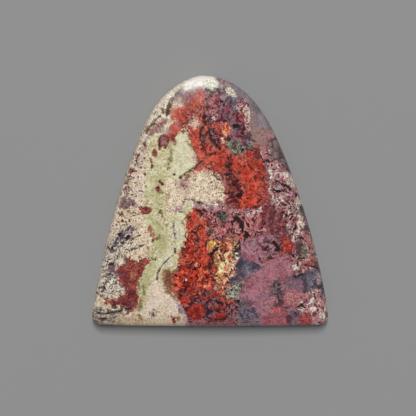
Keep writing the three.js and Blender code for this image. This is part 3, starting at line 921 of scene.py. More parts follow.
SEAM = [
    Line(1.9, (181, 177), (189, 171), (196, 166), (202.5, 160.5), (206.5, 157), (205.5, 150),
         (201.5, 144.5)),
    Line(1.7, (206.5, 157), (211, 154), (217, 152.5)),
    Line(1.8, (205, 124), (201, 130), (199.5, 137), (203, 144)), Line(1.7, (255, 173), (255.5, 180)),
    Line(1.4, (124, 256), (129, 250.5), (136, 247.5), (144, 245.5)),
    Line(1.4, (130, 242), (134, 238), (140, 235)),
    Line(2, (98, 313), (106, 313.4), (114, 312), (122, 310.4), (131, 307.6)),
    Line(1.5, (96, 318.5), (104, 319), (112, 317.4)), Line(1.5, (112, 307), (120, 308.5), (127, 308)),
    Line(1.7, (191.5, 199.3), (195.5, 201), (199.5, 203), (202.5, 203.2)),
    Line(1.8, (268.8, 142.5), (271, 140), (275.5, 138.5)), Line(1.7, (224.5, 138.8), (230, 139.5)),
    Line(1.9, (211, 116.5), (207.5, 121), (211, 124), (214.5, 121.5), (220, 120.5), (226, 121.5)),
    Line(2, (208.8, 128), (209.5, 134), (212.5, 139), (216, 144.5), (219.5, 149.5)),
    Line(1.6, (213, 131), (216.5, 136), (219.5, 142)), Line(1.8, (207, 304), (208, 310), (206.5, 316)),
    Line(1.7, (208, 311), (214, 310.5), (220, 312)),
    Line(1.7, (210, 318.5), (217, 320), (226, 318), (229, 314)), Line(2, (175.3, 249), (174.6, 253)),
    Line(1.6, (159.5, 269), (158, 273), (157, 279)),
    Line(1.8, (248.5, 164.5), (251.5, 168.5), (256, 172.5), (259, 172)),
    Line(1.1, (297, 307.5), (302, 304.5), (307.5, 299)),
    Line(0.8, (173.5, 222), (174, 229), (174.4, 235), (177, 241.5)),
    Line(0.6, (174, 254), (168, 259.5), (163, 264), (159.5, 269)),
]
CRACK = [
    Line(2.2, (257, 190), (260, 199), (258.5, 204), (254, 207)),
    Line(2.4, (223.5, 164.8), (227, 166.3), (229, 161), (227.5, 157.5)),
    Line(1.6, (226.5, 183), (230.5, 187.5), (228, 192), (233, 195)),
    Line(1.6, (229, 175), (232, 181), (236.5, 186)), Line(1.8, (179, 177.8), (184, 178.5)),
    Line(1.8, (208.5, 108), (205, 113), (203, 119), (204.5, 124)), Line(1.6, (266.5, 147), (267, 153)),
    Line(1.8, (186, 307.5), (191, 303.5), (195, 299.5), (199, 296.5), (205, 295)),
    Line(2, (208.8, 300.3), (215, 300.8), (221, 303), (226, 304.5), (232, 303.8)),
    Line(2.2, (203.5, 268), (209, 265.5), (212.5, 262), (213, 256)),
    Line(2.2, (212.5, 254.5), (216, 250), (219, 246.8)), Line(1.6, (184, 243), (181.5, 249), (183.5, 254)),
    Line(1.6, (196, 231), (198, 238), (196.5, 244), (191, 247)),
    Line(1.8, (187.5, 215), (190, 218.5), (187.5, 223)), Line(1.6, (200, 213), (201.5, 219), (205, 224)),
    Line(1.7, (276, 281), (280, 286.5), (277, 292)),
    Line(1.1, (257, 247.5), (261, 245), (264, 247.5), (268, 246)),
    Line(1.4, (266, 241), (271, 243.5), (275, 241)), Line(1.8, (226.2, 172), (226.6, 178)),
]

# Painted light: the dome's edge made lighter at the foot and the left flank, and a painted sheen at the tip

# Painted light on the foot's sloping shoulder, which the lamps leave darker
FOOT_PAINTED_LIGHT = [
    Line(20, (130, 328), (326, 328)),
]
# Painted sheen along the tip's shoulder
TIP_PAINTED_SHEEN = [
    Line(14, (187, 79.5), (195, 76), (203, 74.6), (212, 76.3)),
]
# Painted light along the left flank's shoulder
FLANK_PAINTED_LIGHT = [
    Line(5, (163, 101.5), (156, 111), (150.5, 121), (146, 131), (137.8, 151), (130.4, 171), (123.7, 191),
         (117.8, 211), (112.6, 231), (107.9, 251), (103.7, 271), (99.9, 291), (97, 306)),
]


@dataclass
class PaintedEdgeLight:
    """A stretch of the dome's edge with painted light on it. Its tones are shares of red, green and blue.
    """

    name: str
    shapes: list
    strength: tuple  # what the tone under it is multiplied by
    brightest: tuple  # the brightest tone that it makes
    full: float  # how far inside it has its full strength, in millimetres


PAINTED_EDGE_LIGHTS = [
    PaintedEdgeLight("foot_painted_light", FOOT_PAINTED_LIGHT, (1.7, 1.46, 1.4), (0.82, 0.68, 0.5), 0.9),
    PaintedEdgeLight("tip_painted_sheen", TIP_PAINTED_SHEEN, (1.7, 1.46, 1.4), (0.9, 0.86, 0.78), 0.9),
    PaintedEdgeLight("flank_painted_light", FLANK_PAINTED_LIGHT, (1.22, 1.22, 1.28), (0.88, 0.78, 0.64), 0.4),
]

# The pattern runs down through the stone: below the dome it leans and draws in
LEAN = np.array([0.45, 0.3])  # across and up, in millimetres for each millimetre of depth
DRAW_IN = 0.02  # share for each millimetre of depth


def photo_places(points, depths):
    """Where the photograph shows each point, or the spot of the dome whose pattern reaches it."""
    flat = points[:, :2]
    flat = CENTRE + (flat - CENTRE) * (1 - DRAW_IN * depths[:, None]) + LEAN * depths[:, None]
    height = np.where(depths > 0, GIRDLE_TOP, points[:, 2])
    nearer = (CAMERA_HEIGHT - GIRDLE_TOP) / (CAMERA_HEIGHT - height)
    seen = (flat - PHOTO_MIDDLE) * nearer[:, None] / MM_PER_PX
    return np.column_stack([PHOTO_SIZE / 2 + seen[:, 0], PHOTO_SIZE / 2 - seen[:, 1]])


# The waves that bend the zones' edges: length and height in pixels, and how many of each length cross
WAVES = ((11.0, 0.8), (6.5, 0.6), (4.2, 0.4))
WAVES_EACH = 4
WAVES_SEED = 7


def wandering(places):
    """The places, each moved a little by waves that cross in random directions."""
    draw = np.random.default_rng(WAVES_SEED)
    moved = places.copy()
    for length, height in WAVES:
        for angle, phase, turn in draw.uniform(0, 2 * math.pi, (WAVES_EACH, 3)):
            along = places @ np.array([math.cos(angle), math.sin(angle)])
            wave = np.sin(along * 2 * math.pi / length + phase) * height / 2
            moved += wave[:, None] * np.array([math.cos(turn), math.sin(turn)])
    return moved


def add_attribute(mesh, name, values):
    attribute = mesh.attributes.new(name, "FLOAT", "POINT")
    attribute.data.foreach_set("value", values.astype(np.float32))


def add_zones(mesh, places, depths):
    """The zones that fill the stone get wandering edges, and small marks stay where they are drawn."""
    wandered = wandering(places)
    for layer in LAYERS:
        distance = zone_distance(layer.shapes, wandered if layer.fills else places)
        add_attribute(mesh, layer.name, distance * MM_PER_PX)
    # Painted light and sheen along the dome's edge, kept off the wall and the back
    for edge_light in PAINTED_EDGE_LIGHTS:
        distance = zone_distance(edge_light.shapes, places) * MM_PER_PX
        add_attribute(mesh, edge_light.name, np.where(depths > 0, 0, np.clip(distance / edge_light.full, 0, 1)))


# Nodes

def linear(level):
    """A level from 0 to 255 as the photograph shows it, as linear light: the sRGB curve."""
    level = level / 255
    return level / 12.92 if level <= 0.04045 else ((level + 0.055) / 1.055) ** 2.4


def colour(red, green, blue):
    return (linear(red), linear(green), linear(blue), 1.0)


PLACES = 7  # shifted places that textures with different seeds start from
SHIFT = np.array([7.31, 3.77, 5.13])  # from one of them to the next
BENDS = ((0.7, 0.35), (2.2, 0.12))  # scale and reach of the wandering that every texture follows
NOISE_SPAN = 4  # a noise mostly swings by one part in this each way
TONE_PLACES = (0.08, 0.36, 0.62, 0.92)  # of a texture's four tones, from dark to light
LINE_CORE = 0.3  # share of a line's width that has its full tone
LINE_FADE = 0.08  # change of noise over which a line comes and goes
BREAK_SCALE = 0.8  # scale of a line's breaks, next to the line's own
DOT_CORE = 0.5  # share of a dot's radius that has its full tone
LUMP_EDGE = (-0.03, 0.05)  # noise over which a lump begins
LUMP_RIM = (0.09, 0.02)  # noise over which the dark rim round a lump fades in
GRAIN_SCALE = 3.0  # of the grain in a plate
GAP_SCALE = 1.3  # of the changes in the width of the gaps between plates
MIX_SHARE, MIX_FIRST, MIX_SECOND, MIX_RESULT = 0, 6, 7, 2  # the mixing node's sockets for colours
CRISP = 2.3  # strength of every mineral's fine grain


class Nodes:
    """Makes the nodes of one tree. Lengths are in millimetres, and scales are for one millimetre."""

    def __init__(self, tree, places=()):
        self.tree = tree
        self.places = places

    def find_places(self):
        """Works out the shifted and wandering places that the textures start from."""
        place = self.tree.nodes.new("ShaderNodeTexCoord").outputs["Object"]
        place = self.vector("SCALE", place, scale=1 / MM)
        bent = place
        for scale, reach in BENDS:
            bent = self.vector("ADD", bent, self.drift(place, scale, reach))
        self.places = [self.vector("ADD", bent, tuple(SHIFT * number)) for number in range(1, PLACES + 1)]

    def group(self, name, texture):
        """Builds a texture as a node group of its own."""
        tree = bpy.data.node_groups.new(name, "ShaderNodeTree")
        for number in range(len(self.places)):
            tree.interface.new_socket(f"Place {number}", in_out="INPUT", socket_type="NodeSocketVector")
        tree.interface.new_socket("Colour", in_out="OUTPUT", socket_type="NodeSocketColor")
        source = tree.nodes.new("NodeGroupInput")
        inner = Nodes(tree, list(source.outputs)[:len(self.places)])
        result = tree.nodes.new("NodeGroupOutput")
        inner.plug(result.inputs[0], texture(inner))
        node = self.add("ShaderNodeGroup", node_tree=tree)
        for socket, place in zip(node.inputs, self.places):
            self.plug(socket, place)
        return node.outputs[0]

    def add(self, kind, **settings):
        node = self.tree.nodes.new(kind)
        for name, value in settings.items():
            setattr(node, name, value)
        return node

    def plug(self, socket, value):
        if isinstance(value, bpy.types.NodeSocket):
            self.tree.links.new(value, socket)
        else:
            socket.default_value = value

    def vector(self, operation, first, second=None, scale=None):
        node = self.add("ShaderNodeVectorMath", operation=operation)
        self.plug(node.inputs[0], first)
        if second is not None:
            self.plug(node.inputs[1], second)
        if scale is not None:
            self.plug(node.inputs["Scale"], scale)
        return node.outputs["Vector"]

    def math(self, operation, *values):
        node = self.add("ShaderNodeMath", operation=operation)
        for socket, value in zip(node.inputs, values):
            self.plug(socket, value)
        return node.outputs[0]

    def step(self, value, low, high):
        """0 below low and 1 above high, or the other way round where low is above high."""
        node = self.add("ShaderNodeMapRange", interpolation_type="SMOOTHSTEP", clamp=False)
        flipped = low > high
        self.plug(node.inputs["Value"], value)
        self.plug(node.inputs["From Min"], high if flipped else low)
        self.plug(node.inputs["From Max"], low if flipped else high)
        self.plug(node.inputs["To Min"], 1.0 if flipped else 0.0)
        self.plug(node.inputs["To Max"], 0.0 if flipped else 1.0)
        return node.outputs["Result"]

    def drift(self, place, scale, reach):
        """A vector that wanders up to about the reach each way."""
        node = self.add("ShaderNodeTexNoise", noise_dimensions="3D")
        self.plug(node.inputs["Vector"], place)
        self.plug(node.inputs["Scale"], scale)
        self.plug(node.inputs["Detail"], 1.0)
        centred = self.vector("SUBTRACT", node.outputs["Color"], (0.5, 0.5, 0.5))
        return self.vector("SCALE", centred, scale=reach * NOISE_SPAN)

    def place_for(self, seed):
        """One of a few shifted places, so that textures with different seeds don't fall together."""
        return self.places[seed % len(self.places)]

    def noise(self, scale, seed, detail=2.0, roughness=0.55, place=None):
        """Noise round 0, mostly between -0.5 and 0.5."""
        node = self.add("ShaderNodeTexNoise", noise_dimensions="3D")
        self.plug(node.inputs["Vector"], place or self.place_for(seed))
        self.plug(node.inputs["Scale"], scale)
        self.plug(node.inputs["Detail"], detail)
        self.plug(node.inputs["Roughness"], roughness)
        return self.math("MULTIPLY_ADD", node.outputs["Fac"], 2.0, -1.0)

    def cells(self, scale, seed, feature="F1"):
        """Cells: the distance to a middle or edge, and a random number for each cell."""
        node = self.add("ShaderNodeTexVoronoi", feature=feature)
        self.plug(node.inputs["Vector"], self.place_for(seed))
        self.plug(node.inputs["Scale"], scale)
        if feature == "DISTANCE_TO_EDGE":
            return node.outputs["Distance"], None
        chance = self.add("ShaderNodeSeparateColor")
        self.plug(chance.inputs[0], node.outputs["Color"])
        return node.outputs["Distance"], chance.outputs[0]

    def ramp(self, value, *stops):
        """Colours at places from 0 to 1, with straight blends between them."""
        node = self.add("ShaderNodeValToRGB")
        elements = node.color_ramp.elements
        for element, (place, tone) in zip(elements, (stops[0], stops[-1])):
            element.position = place
            element.color = tone
        for place, tone in stops[1:-1]:
            elements.new(place).color = tone
        self.plug(node.inputs["Fac"], value)
        return node.outputs["Color"]

    def mix(self, share, first, second, blend="MIX"):
        node = self.add("ShaderNodeMix", data_type="RGBA", blend_type=blend)
        self.plug(node.inputs[MIX_SHARE], share)
        self.plug(node.inputs[MIX_FIRST], first)
        self.plug(node.inputs[MIX_SECOND], second)
        return node.outputs[MIX_RESULT]

    def tones(self, value, levels):
        """Four tones from dark to light."""
        return self.ramp(value, *zip(TONE_PLACES, [colour(*level) for level in levels]))

    def attribute(self, name):
        node = self.add("ShaderNodeAttribute", attribute_name=name)
        return node.outputs["Fac"]

    def mottle(self, seed, levels, broad=(0.9, 1.2), grain=(2.6, 1.6), bias=0.0):
        """Four tones, mixed by broad blotches and by fine grain. Each has a scale and a share."""
        value = self.math("MULTIPLY_ADD", self.noise(broad[0], seed), broad[1], 0.5 + bias)
        value = self.math("MULTIPLY_ADD", self.noise(grain[0], seed + 1), grain[1] * CRISP, value)
        return self.tones(value, levels)

    def creases(self, base, level, scale, seed, width, share=1.0, detail=2.0, gaps=-0.1, place=None):
        """Thin winding lines of another tone, which come and go. Higher gaps leave less of them."""
        value = self.math("ABSOLUTE", self.noise(scale, seed, detail, place=place))
        line = self.step(value, width, width * LINE_CORE)
        broken = self.step(self.noise(scale * BREAK_SCALE, seed + 3), gaps - LINE_FADE, gaps + LINE_FADE)
        line = self.math("MULTIPLY", self.math("MULTIPLY", line, broken), share)
        return self.mix(line, base, colour(*level))

    def plates(self, levels, scale, seed, gap, dark, grain=0.5, loose=0.5):
        """Close-set plates, each with a tone of its own, and dark gaps of changing width between them."""
        chance = self.cells(scale, seed)[1]
        value = self.math("MULTIPLY_ADD", self.noise(GRAIN_SCALE, seed + 1), grain, chance)
        base = self.tones(value, levels)
        edge = self.cells(scale, seed, "DISTANCE_TO_EDGE")[0]
        edge = self.math("MULTIPLY_ADD", self.noise(GAP_SCALE, seed + 2), loose, edge)
        return self.mix(self.step(edge, gap, gap * LINE_CORE), base, colour(*dark))

    def drawn_out(self, seed, angle, ratio):
        """A place for textures that are longer in one direction, at an angle to the x axis."""
        node = self.add("ShaderNodeMapping", vector_type="TEXTURE")
        self.plug(node.inputs["Vector"], self.place_for(seed))
        node.inputs["Rotation"].default_value = (0, 0, math.radians(angle))
        node.inputs["Scale"].default_value = (ratio, 1, 1)
        return node.outputs["Vector"]

    def lumps(self, base, fill, scale, seed, cut, rim=None, rim_share=0.8):
        """Irregular lumps of another texture with a thin dark rim. A higher cut leaves fewer of them."""
        value = self.math("SUBTRACT", self.noise(scale, seed, roughness=0.5), cut)
        base = self.mix(self.step(value, *LUMP_EDGE), base, fill)
        if rim:
            band = self.step(self.math("ABSOLUTE", value), *LUMP_RIM)
            base = self.mix(self.math("MULTIPLY", band, rim_share), base, colour(*rim))
        return base

    def dots(self, base, level, scale, seed, size, share, strength=1.0):
        """Scattered round dots of another tone."""
        distance, chance = self.cells(scale, seed)
        chosen = self.math("LESS_THAN", chance, share)
        dot = self.math("MULTIPLY", self.step(distance, size, size * DOT_CORE), chosen)
        if strength < 1:
            dot = self.math("MULTIPLY", dot, strength)
        return self.mix(dot, base, colour(*level))

    def patches(self, base, other, scale, seed, low, high):
        """Soft patches of another colour."""
        return self.mix(self.step(self.noise(scale, seed), low, high), base, other)


# Minerals: each function gives the colour of one mineral's texture

def quartz(n):
    return n.mottle(0, [(96, 80, 88), (120, 104, 108), (140, 124, 126), (160, 146, 146)],
                    broad=(0.35, 1.6), grain=(2.0, 0.6))


def smoke(n):
    return n.mottle(1, [(62, 48, 52), (82, 68, 72), (104, 90, 92), (136, 118, 116)],
                    broad=(0.45, 1.4), grain=(1.8, 0.8))


def amber(n):
    return n.mottle(2, [(130, 85, 82), (140, 104, 100), (150, 114, 110), (152, 128, 122)],
                    broad=(0.3, 1.4), grain=(2.0, 0.4))


def slate(n):
    return n.mottle(3, [(60, 52, 62), (78, 68, 82), (104, 90, 104), (126, 112, 124)],
                    broad=(0.4, 1.5), grain=(2.2, 0.7))


def mauve(n):
    base = n.mottle(4, [(110, 68, 76), (138, 90, 100), (160, 108, 118), (178, 130, 138)],
                    broad=(0.4, 1.5), grain=(2.4, 0.7))
    base = n.patches(base, colour(146, 112, 130), 0.35, 6, 0.0, 0.5)
    base = n.creases(base, (184, 140, 148), 1.0, 2, 0.07, 0.4)
    return n.creases(base, (92, 52, 62), 0.9, 1, 0.09, 0.45, detail=3.0, gaps=0.05)


def cream(n):
    base = n.mottle(5, [(180, 152, 128), (214, 192, 162), (230, 211, 182), (241, 226, 203)],
                    broad=(0.7, 0.9), grain=(3.0, 0.9), bias=0.1)
    base = n.patches(base, colour(212, 184, 156), 0.5, 2, 0.15, 0.5)
    base = n.creases(base, (170, 138, 112), 1.3, 6, 0.09, 0.8)
    base = n.dots(base, (120, 92, 70), 2.6, 3, 0.4, 0.35, 0.9)
    return n.dots(base, (58, 40, 34), 1.7, 1, 0.27, 0.4)


def lime(n):
    base = n.mottle(1, [(172, 160, 118), (197, 188, 146), (212, 204, 164), (224, 217, 184)],
                    broad=(0.5, 0.9), grain=(2.8, 0.9), bias=0.08)
    base = n.patches(base, colour(190, 191, 138), 0.45, 3, 0.1, 0.45)
    base = n.patches(base, colour(222, 210, 176), 0.5, 6, 0.1, 0.4)
    base = n.creases(base, (150, 134, 92), 0.9, 4, 0.05, 0.7)
    return n.dots(base, (98, 76, 54), 1.6, 5, 0.24, 0.3)


def pepper(n):
    pale = n.mottle(3, [(176, 158, 142), (206, 190, 170), (220, 206, 184), (236, 224, 206)],
                    broad=(0.9, 1.0), grain=(2.8, 1.4))
    along = n.drawn_out(2, 42, 1.8)
    dark = n.noise(2.9, 2, place=along)
    base = n.mix(n.step(dark, 0.03, 0.14), pale, colour(132, 118, 120))
    base = n.mix(n.step(dark, 0.15, 0.24), base, colour(58, 48, 56))
    return n.creases(base, (46, 36, 40), 1.9, 5, 0.11, gaps=0.0, place=along)


def pitch(n):
    """Dark slanting strokes with pale bits between them."""
    base = n.mottle(5, [(26, 20, 28), (44, 38, 50), (78, 68, 82), (118, 104, 114)],
                    broad=(0.8, 1.2), grain=(2.8, 1.4))
    along = n.drawn_out(6, 45, 2.2)
    pale = n.noise(1.9, 6, place=along)
    return n.mix(n.step(pale, 0.05, 0.14), base, colour(206, 190, 174))


def dusk(n):
    """Strokes that run nearly along the foot."""
    along = n.drawn_out(1, 8, 2.6)
    base = n.mottle(11, [(102, 88, 92), (134, 118, 118), (164, 146, 138), (196, 178, 160)],
                    broad=(0.8, 1.2), grain=(2.6, 1.6))
    base = n.creases(base, (212, 194, 170), 1.3, 1, 0.12, 0.9, gaps=-0.05, place=along)
    return n.creases(base, (72, 58, 66), 1.2, 4, 0.1, 0.9, gaps=-0.05, place=along)


def coral(n):
    base = n.mottle(12, [(164, 92, 86), (186, 106, 96), (196, 126, 116), (190, 142, 138)],
                    broad=(0.5, 1.2), grain=(2.6, 1.0))
    return n.patches(base, colour(168, 118, 124), 0.6, 2, 0.1, 0.45)


def brick(n):
    dull = n.mottle(13, [(104, 36, 32), (142, 54, 46), (164, 78, 68), (186, 118, 106)],
                    broad=(0.8, 1.2), grain=(2.6, 1.4))
    bright = n.mottle(3, [(158, 56, 44), (190, 74, 57), (202, 86, 67), (210, 112, 92)],
                      broad=(0.5, 1.2), grain=(2.8, 0.5))
    base = n.lumps(dull, bright, 0.32, 5, -0.12, rim=(70, 26, 26), rim_share=0.7)
    base = n.creases(base, (110, 40, 36), 1.3, 6, 0.09, 0.8, gaps=0.05)
    base = n.creases(base, (54, 22, 24), 0.45, 1, 0.05, detail=3.0, gaps=-0.2)
    return n.creases(base, (214, 132, 108), 0.9, 2, 0.05, 0.6, gaps=0.0)


def rust(n):
    base = n.mottle(15, [(96, 30, 28), (126, 46, 44), (142, 62, 60), (164, 92, 90)],
                    broad=(0.8, 1.2), grain=(2.6, 1.6))
    return n.creases(base, (60, 22, 26), 0.9, 4, 0.09, 0.9)


def oxblood(n):
    base = n.mottle(16, [(88, 34, 36), (112, 46, 46), (132, 56, 54), (150, 72, 64)],
                    broad=(0.6, 1.3), grain=(2.6, 1.2))
    base = n.patches(base, colour(168, 84, 68), 0.8, 3, 0.0, 0.3)
    base = n.creases(base, (188, 104, 80), 1.1, 6, 0.1, 0.8, gaps=0.0)
    return n.creases(base, (66, 26, 30), 1.2, 1, 0.1, 0.8)


def ember(n):
    base = n.plates([(134, 34, 26), (184, 48, 32), (214, 66, 44), (230, 108, 76)], 1.15, 1, 0.06,
                    (52, 20, 20), loose=0.4)
    base = n.lumps(base, colour(120, 44, 44), 0.9, 3, 0.28, rim=(44, 18, 20))
    base = n.creases(base, (204, 118, 100), 1.4, 4, 0.1, 0.8, gaps=0.06)
    base = n.dots(base, (230, 156, 112), 1.5, 6, 0.32, 0.12)
    return n.creases(base, (38, 16, 18), 0.55, 5, 0.05, gaps=-0.02)


def fire(n):
    base = n.plates([(154, 82, 60), (198, 128, 98), (222, 160, 120), (240, 202, 158)], 1.15, 2, 0.095,
                    (66, 26, 20), grain=0.9, loose=0.45)
    base = n.lumps(base, colour(216, 92, 56), 1.2, 0, 0.24, rim=(110, 40, 28))
    base = n.dots(base, (250, 230, 190), 1.6, 5, 0.32, 0.3)
    return n.creases(base, (52, 22, 20), 0.8, 1, 0.08, gaps=0.0)


def madder(n):
    base = n.plates([(122, 52, 54), (160, 82, 86), (184, 108, 110), (210, 154, 148)], 1.0, 5, 0.085,
                    (52, 22, 26), grain=0.9, loose=0.6)
    base = n.creases(base, (156, 48, 56), 0.9, 2, 0.1, 0.8, gaps=0.0)
    base = n.creases(base, (206, 150, 148), 1.2, 6, 0.09, 0.8, gaps=0.0)
    return n.creases(base, (34, 14, 18), 0.7, 3, 0.085, gaps=0.0)


def plum(n):
    along = n.drawn_out(1, -40, 2.0)
    base = n.mottle(6, [(84, 34, 38), (116, 50, 56), (140, 76, 82), (164, 118, 124)])
    base = n.creases(base, (160, 56, 64), 1.1, 2, 0.12, 0.7, gaps=0.0, place=along)
    base = n.creases(base, (186, 128, 134), 1.3, 4, 0.11, 0.8, gaps=0.05, place=along)
    return n.creases(base, (44, 18, 24), 1.0, 5, 0.12, gaps=-0.15, place=along)


def dusky(n):
    base = n.mottle(2, [(66, 42, 52), (100, 62, 74), (122, 80, 90), (148, 110, 116)],
                    broad=(0.7, 1.3), grain=(2.6, 1.4))
    base = n.creases(base, (150, 130, 138), 1.3, 4, 0.11, 0.8, gaps=0.0)
    base = n.creases(base, (152, 58, 72), 1.0, 6, 0.14, 0.9, gaps=0.0)
    return n.creases(base, (40, 24, 34), 1.1, 1, 0.1, gaps=0.0)


def crimson(n):
    along = n.drawn_out(3, -42, 2.4)
    base = n.mottle(0, [(84, 26, 32), (122, 40, 46), (148, 56, 62), (176, 94, 98)],
                    broad=(0.7, 1.2), grain=(2.6, 1.4))
    base = n.creases(base, (188, 118, 126), 1.6, 5, 0.1, 0.9, gaps=-0.05, place=along)
    return n.creases(base, (50, 16, 24), 1.6, 2, 0.15, 0.95, gaps=-0.15, place=along)


def wine(n):
    base = n.mottle(4, [(62, 22, 26), (98, 36, 38), (122, 48, 48), (154, 78, 70)],
                    broad=(0.8, 1.3), grain=(2.6, 1.4))
    base = n.lumps(base, colour(180, 64, 46), 1.1, 1, 0.26, rim=(60, 22, 22))
    base = n.creases(base, (170, 110, 108), 1.2, 3, 0.08, 0.7, gaps=0.1)
    return n.creases(base, (36, 14, 18), 1.0, 6, 0.1, gaps=0.0)


def rift(n):
    base = n.mottle(3, [(48, 34, 42), (72, 52, 62), (98, 74, 84), (134, 108, 116)],
                    broad=(0.9, 1.2), grain=(2.8, 1.6))
    base = n.lumps(base, colour(176, 70, 52), 1.1, 5, 0.22)
    return n.creases(base, (30, 18, 24), 1.0, 2, 0.14)


def blaze(n):
    return n.mottle(6, [(160, 60, 42), (206, 86, 54), (228, 112, 74), (240, 178, 148)],
                    broad=(0.9, 1.2), grain=(2.8, 1.4))


def frill(n):
    base = n.plates([(150, 106, 112), (184, 142, 144), (208, 174, 170), (226, 206, 194)], 1.5, 4, 0.08,
                    (70, 34, 40), grain=0.8)
    return n.creases(base, (72, 36, 42), 1.0, 2, 0.08, 0.9, gaps=0.05)


def cinder(n):
    base = n.mottle(5, [(58, 26, 30), (88, 42, 46), (118, 62, 66), (150, 104, 110)],
                    broad=(0.8, 1.3), grain=(2.8, 1.4))
    base = n.creases(base, (156, 116, 126), 1.1, 1, 0.1, 0.8, gaps=0.0)
    return n.creases(base, (36, 16, 22), 0.9, 3, 0.12)


def shade(n):
    base = n.mottle(0, [(40, 38, 42), (60, 56, 62), (80, 76, 82), (112, 104, 106)],
                    broad=(0.6, 1.3), grain=(2.4, 1.2))
    return n.creases(base, (136, 116, 120), 1.2, 4, 0.09, 0.6, gaps=0.05)


def sludge(n):
    base = n.mottle(1, [(34, 36, 34), (52, 56, 50), (70, 74, 66), (98, 100, 88)],
                    broad=(0.9, 1.2), grain=(2.8, 1.6))
    return n.creases(base, (148, 146, 126), 1.3, 5, 0.08, 0.8, gaps=0.05)


def lace(n):
    base = n.mottle(1, [(74, 46, 48), (108, 74, 76), (136, 100, 100), (156, 122, 118)])
    base = n.creases(base, (34, 18, 20), 0.8, 5, 0.16)
    base = n.creases(base, (188, 136, 140), 0.85, 2, 0.15, gaps=-0.25)
    base = n.creases(base, (164, 70, 84), 1.0, 6, 0.09, 0.9, gaps=0.0)
    base = n.creases(base, (222, 200, 184), 0.8, 4, 0.1, gaps=0.02)
    return n.dots(base, (30, 16, 18), 1.5, 0, 0.35, 0.25)


def sage(n):
    base = n.mottle(3, [(38, 32, 34), (60, 52, 50), (84, 76, 66), (110, 102, 88)])
    base = n.creases(base, (150, 146, 122), 1.2, 6, 0.14, gaps=-0.15)
    return n.creases(base, (182, 180, 158), 1.3, 2, 0.07, 0.9, gaps=0.05)


def reed(n):
    base = n.mottle(2, [(70, 68, 62), (112, 110, 98), (148, 148, 130), (172, 172, 152)])
    base = n.creases(base, (48, 40, 40), 1.2, 4, 0.12)
    return n.creases(base, (188, 188, 166), 1.3, 5, 0.08, 0.9, gaps=0.0)


def scarlet(n):
    base = n.mottle(5, [(132, 38, 30), (174, 54, 40), (196, 70, 50), (212, 94, 70)],
                    broad=(0.6, 1.1), grain=(2.8, 0.6), bias=0.04)
    base = n.creases(base, (208, 108, 86), 0.9, 6, 0.05, 0.6, gaps=0.05)
    return n.creases(base, (72, 24, 24), 0.6, 3, 0.038)


def cherry(n):
    base = n.mottle(4, [(118, 30, 26), (154, 42, 34), (174, 54, 44), (194, 84, 68)],
                    broad=(0.6, 1.2), grain=(2.8, 0.8))
    return n.creases(base, (60, 22, 24), 0.6, 3, 0.038)


def berry(n):
    base = n.mottle(6, [(104, 54, 62), (130, 72, 82), (148, 88, 96), (164, 106, 112)],
                    broad=(0.8, 1.3), grain=(2.6, 1.4))
    return n.creases(base, (80, 38, 48), 0.9, 4, 0.08, 0.7)


def garnet(n):
    base = n.mottle(0, [(84, 26, 26), (122, 44, 38), (146, 62, 54), (158, 92, 84)],
                    broad=(0.9, 1.2), grain=(2.8, 1.6))
    return n.creases(base, (70, 26, 28), 1.2, 3, 0.1, 0.8)


def blush(n):
    base = n.mottle(2, [(166, 74, 62), (192, 88, 74), (202, 104, 90), (206, 128, 116)],
                    broad=(0.6, 1.2), grain=(2.6, 0.8))
    upright = n.drawn_out(3, 90, 2.5)
    return n.creases(base, (216, 150, 136), 1.6, 4, 0.1, 0.6, gaps=0.0, place=upright)


def mist(n):
    return n.mottle(1, [(108, 96, 102), (122, 110, 116), (132, 120, 124), (146, 136, 138)],
                    broad=(0.3, 1.6), grain=(1.6, 0.3))


def violet(n):
    base = n.mottle(2, [(66, 54, 70), (84, 70, 88), (98, 84, 102), (116, 102, 116)],
                    broad=(0.5, 1.4), grain=(2.4, 0.8))
    return n.creases(base, (142, 130, 136), 1.1, 5, 0.09, 0.8, gaps=0.0)


def cap(n):
    return n.mottle(4, [(216, 206, 200), (236, 227, 220), (245, 239, 232), (245, 243, 228)],
                    broad=(0.35, 1.6), grain=(1.5, 0.4))


def speckle(n):
    """A mask of small separate grains."""
    return n.step(n.noise(2.0, 4, detail=1.0), 0.16, 0.28)


PLAIN_DROPS = (1.0, 0.4, 0.0, -0.33)  # shares of the way down to the darkest tone, for each tone
BRIGHTEST = 250


def plain(seed, red, green, blue, darkest=0.7):
    """A mineral with only a slight change of tone."""
    parts = [1 - drop * (1 - darkest) for drop in PLAIN_DROPS]
    shades = [[min(level * part, BRIGHTEST) for level in (red, green, blue)] for part in parts]
    return lambda n: n.mottle(seed, shades, broad=(1.0, 0.8), grain=(3.2, 1.2))


@dataclass
class Layer:
    """One mineral: how its zones' edges look. Lengths are in millimetres."""

    name: str
    shapes: list
    texture: object
    ragged: float  # how far the edge wanders
    soft: float  # half the width over which it fades
    cover: float = 1.0
    fills: bool = False  # whether it also fills its half of a gap between minerals
    rim: float = 0.0  # strength of the broken dark line along the edge
    mask: object = None  # keeps the mineral to small grains


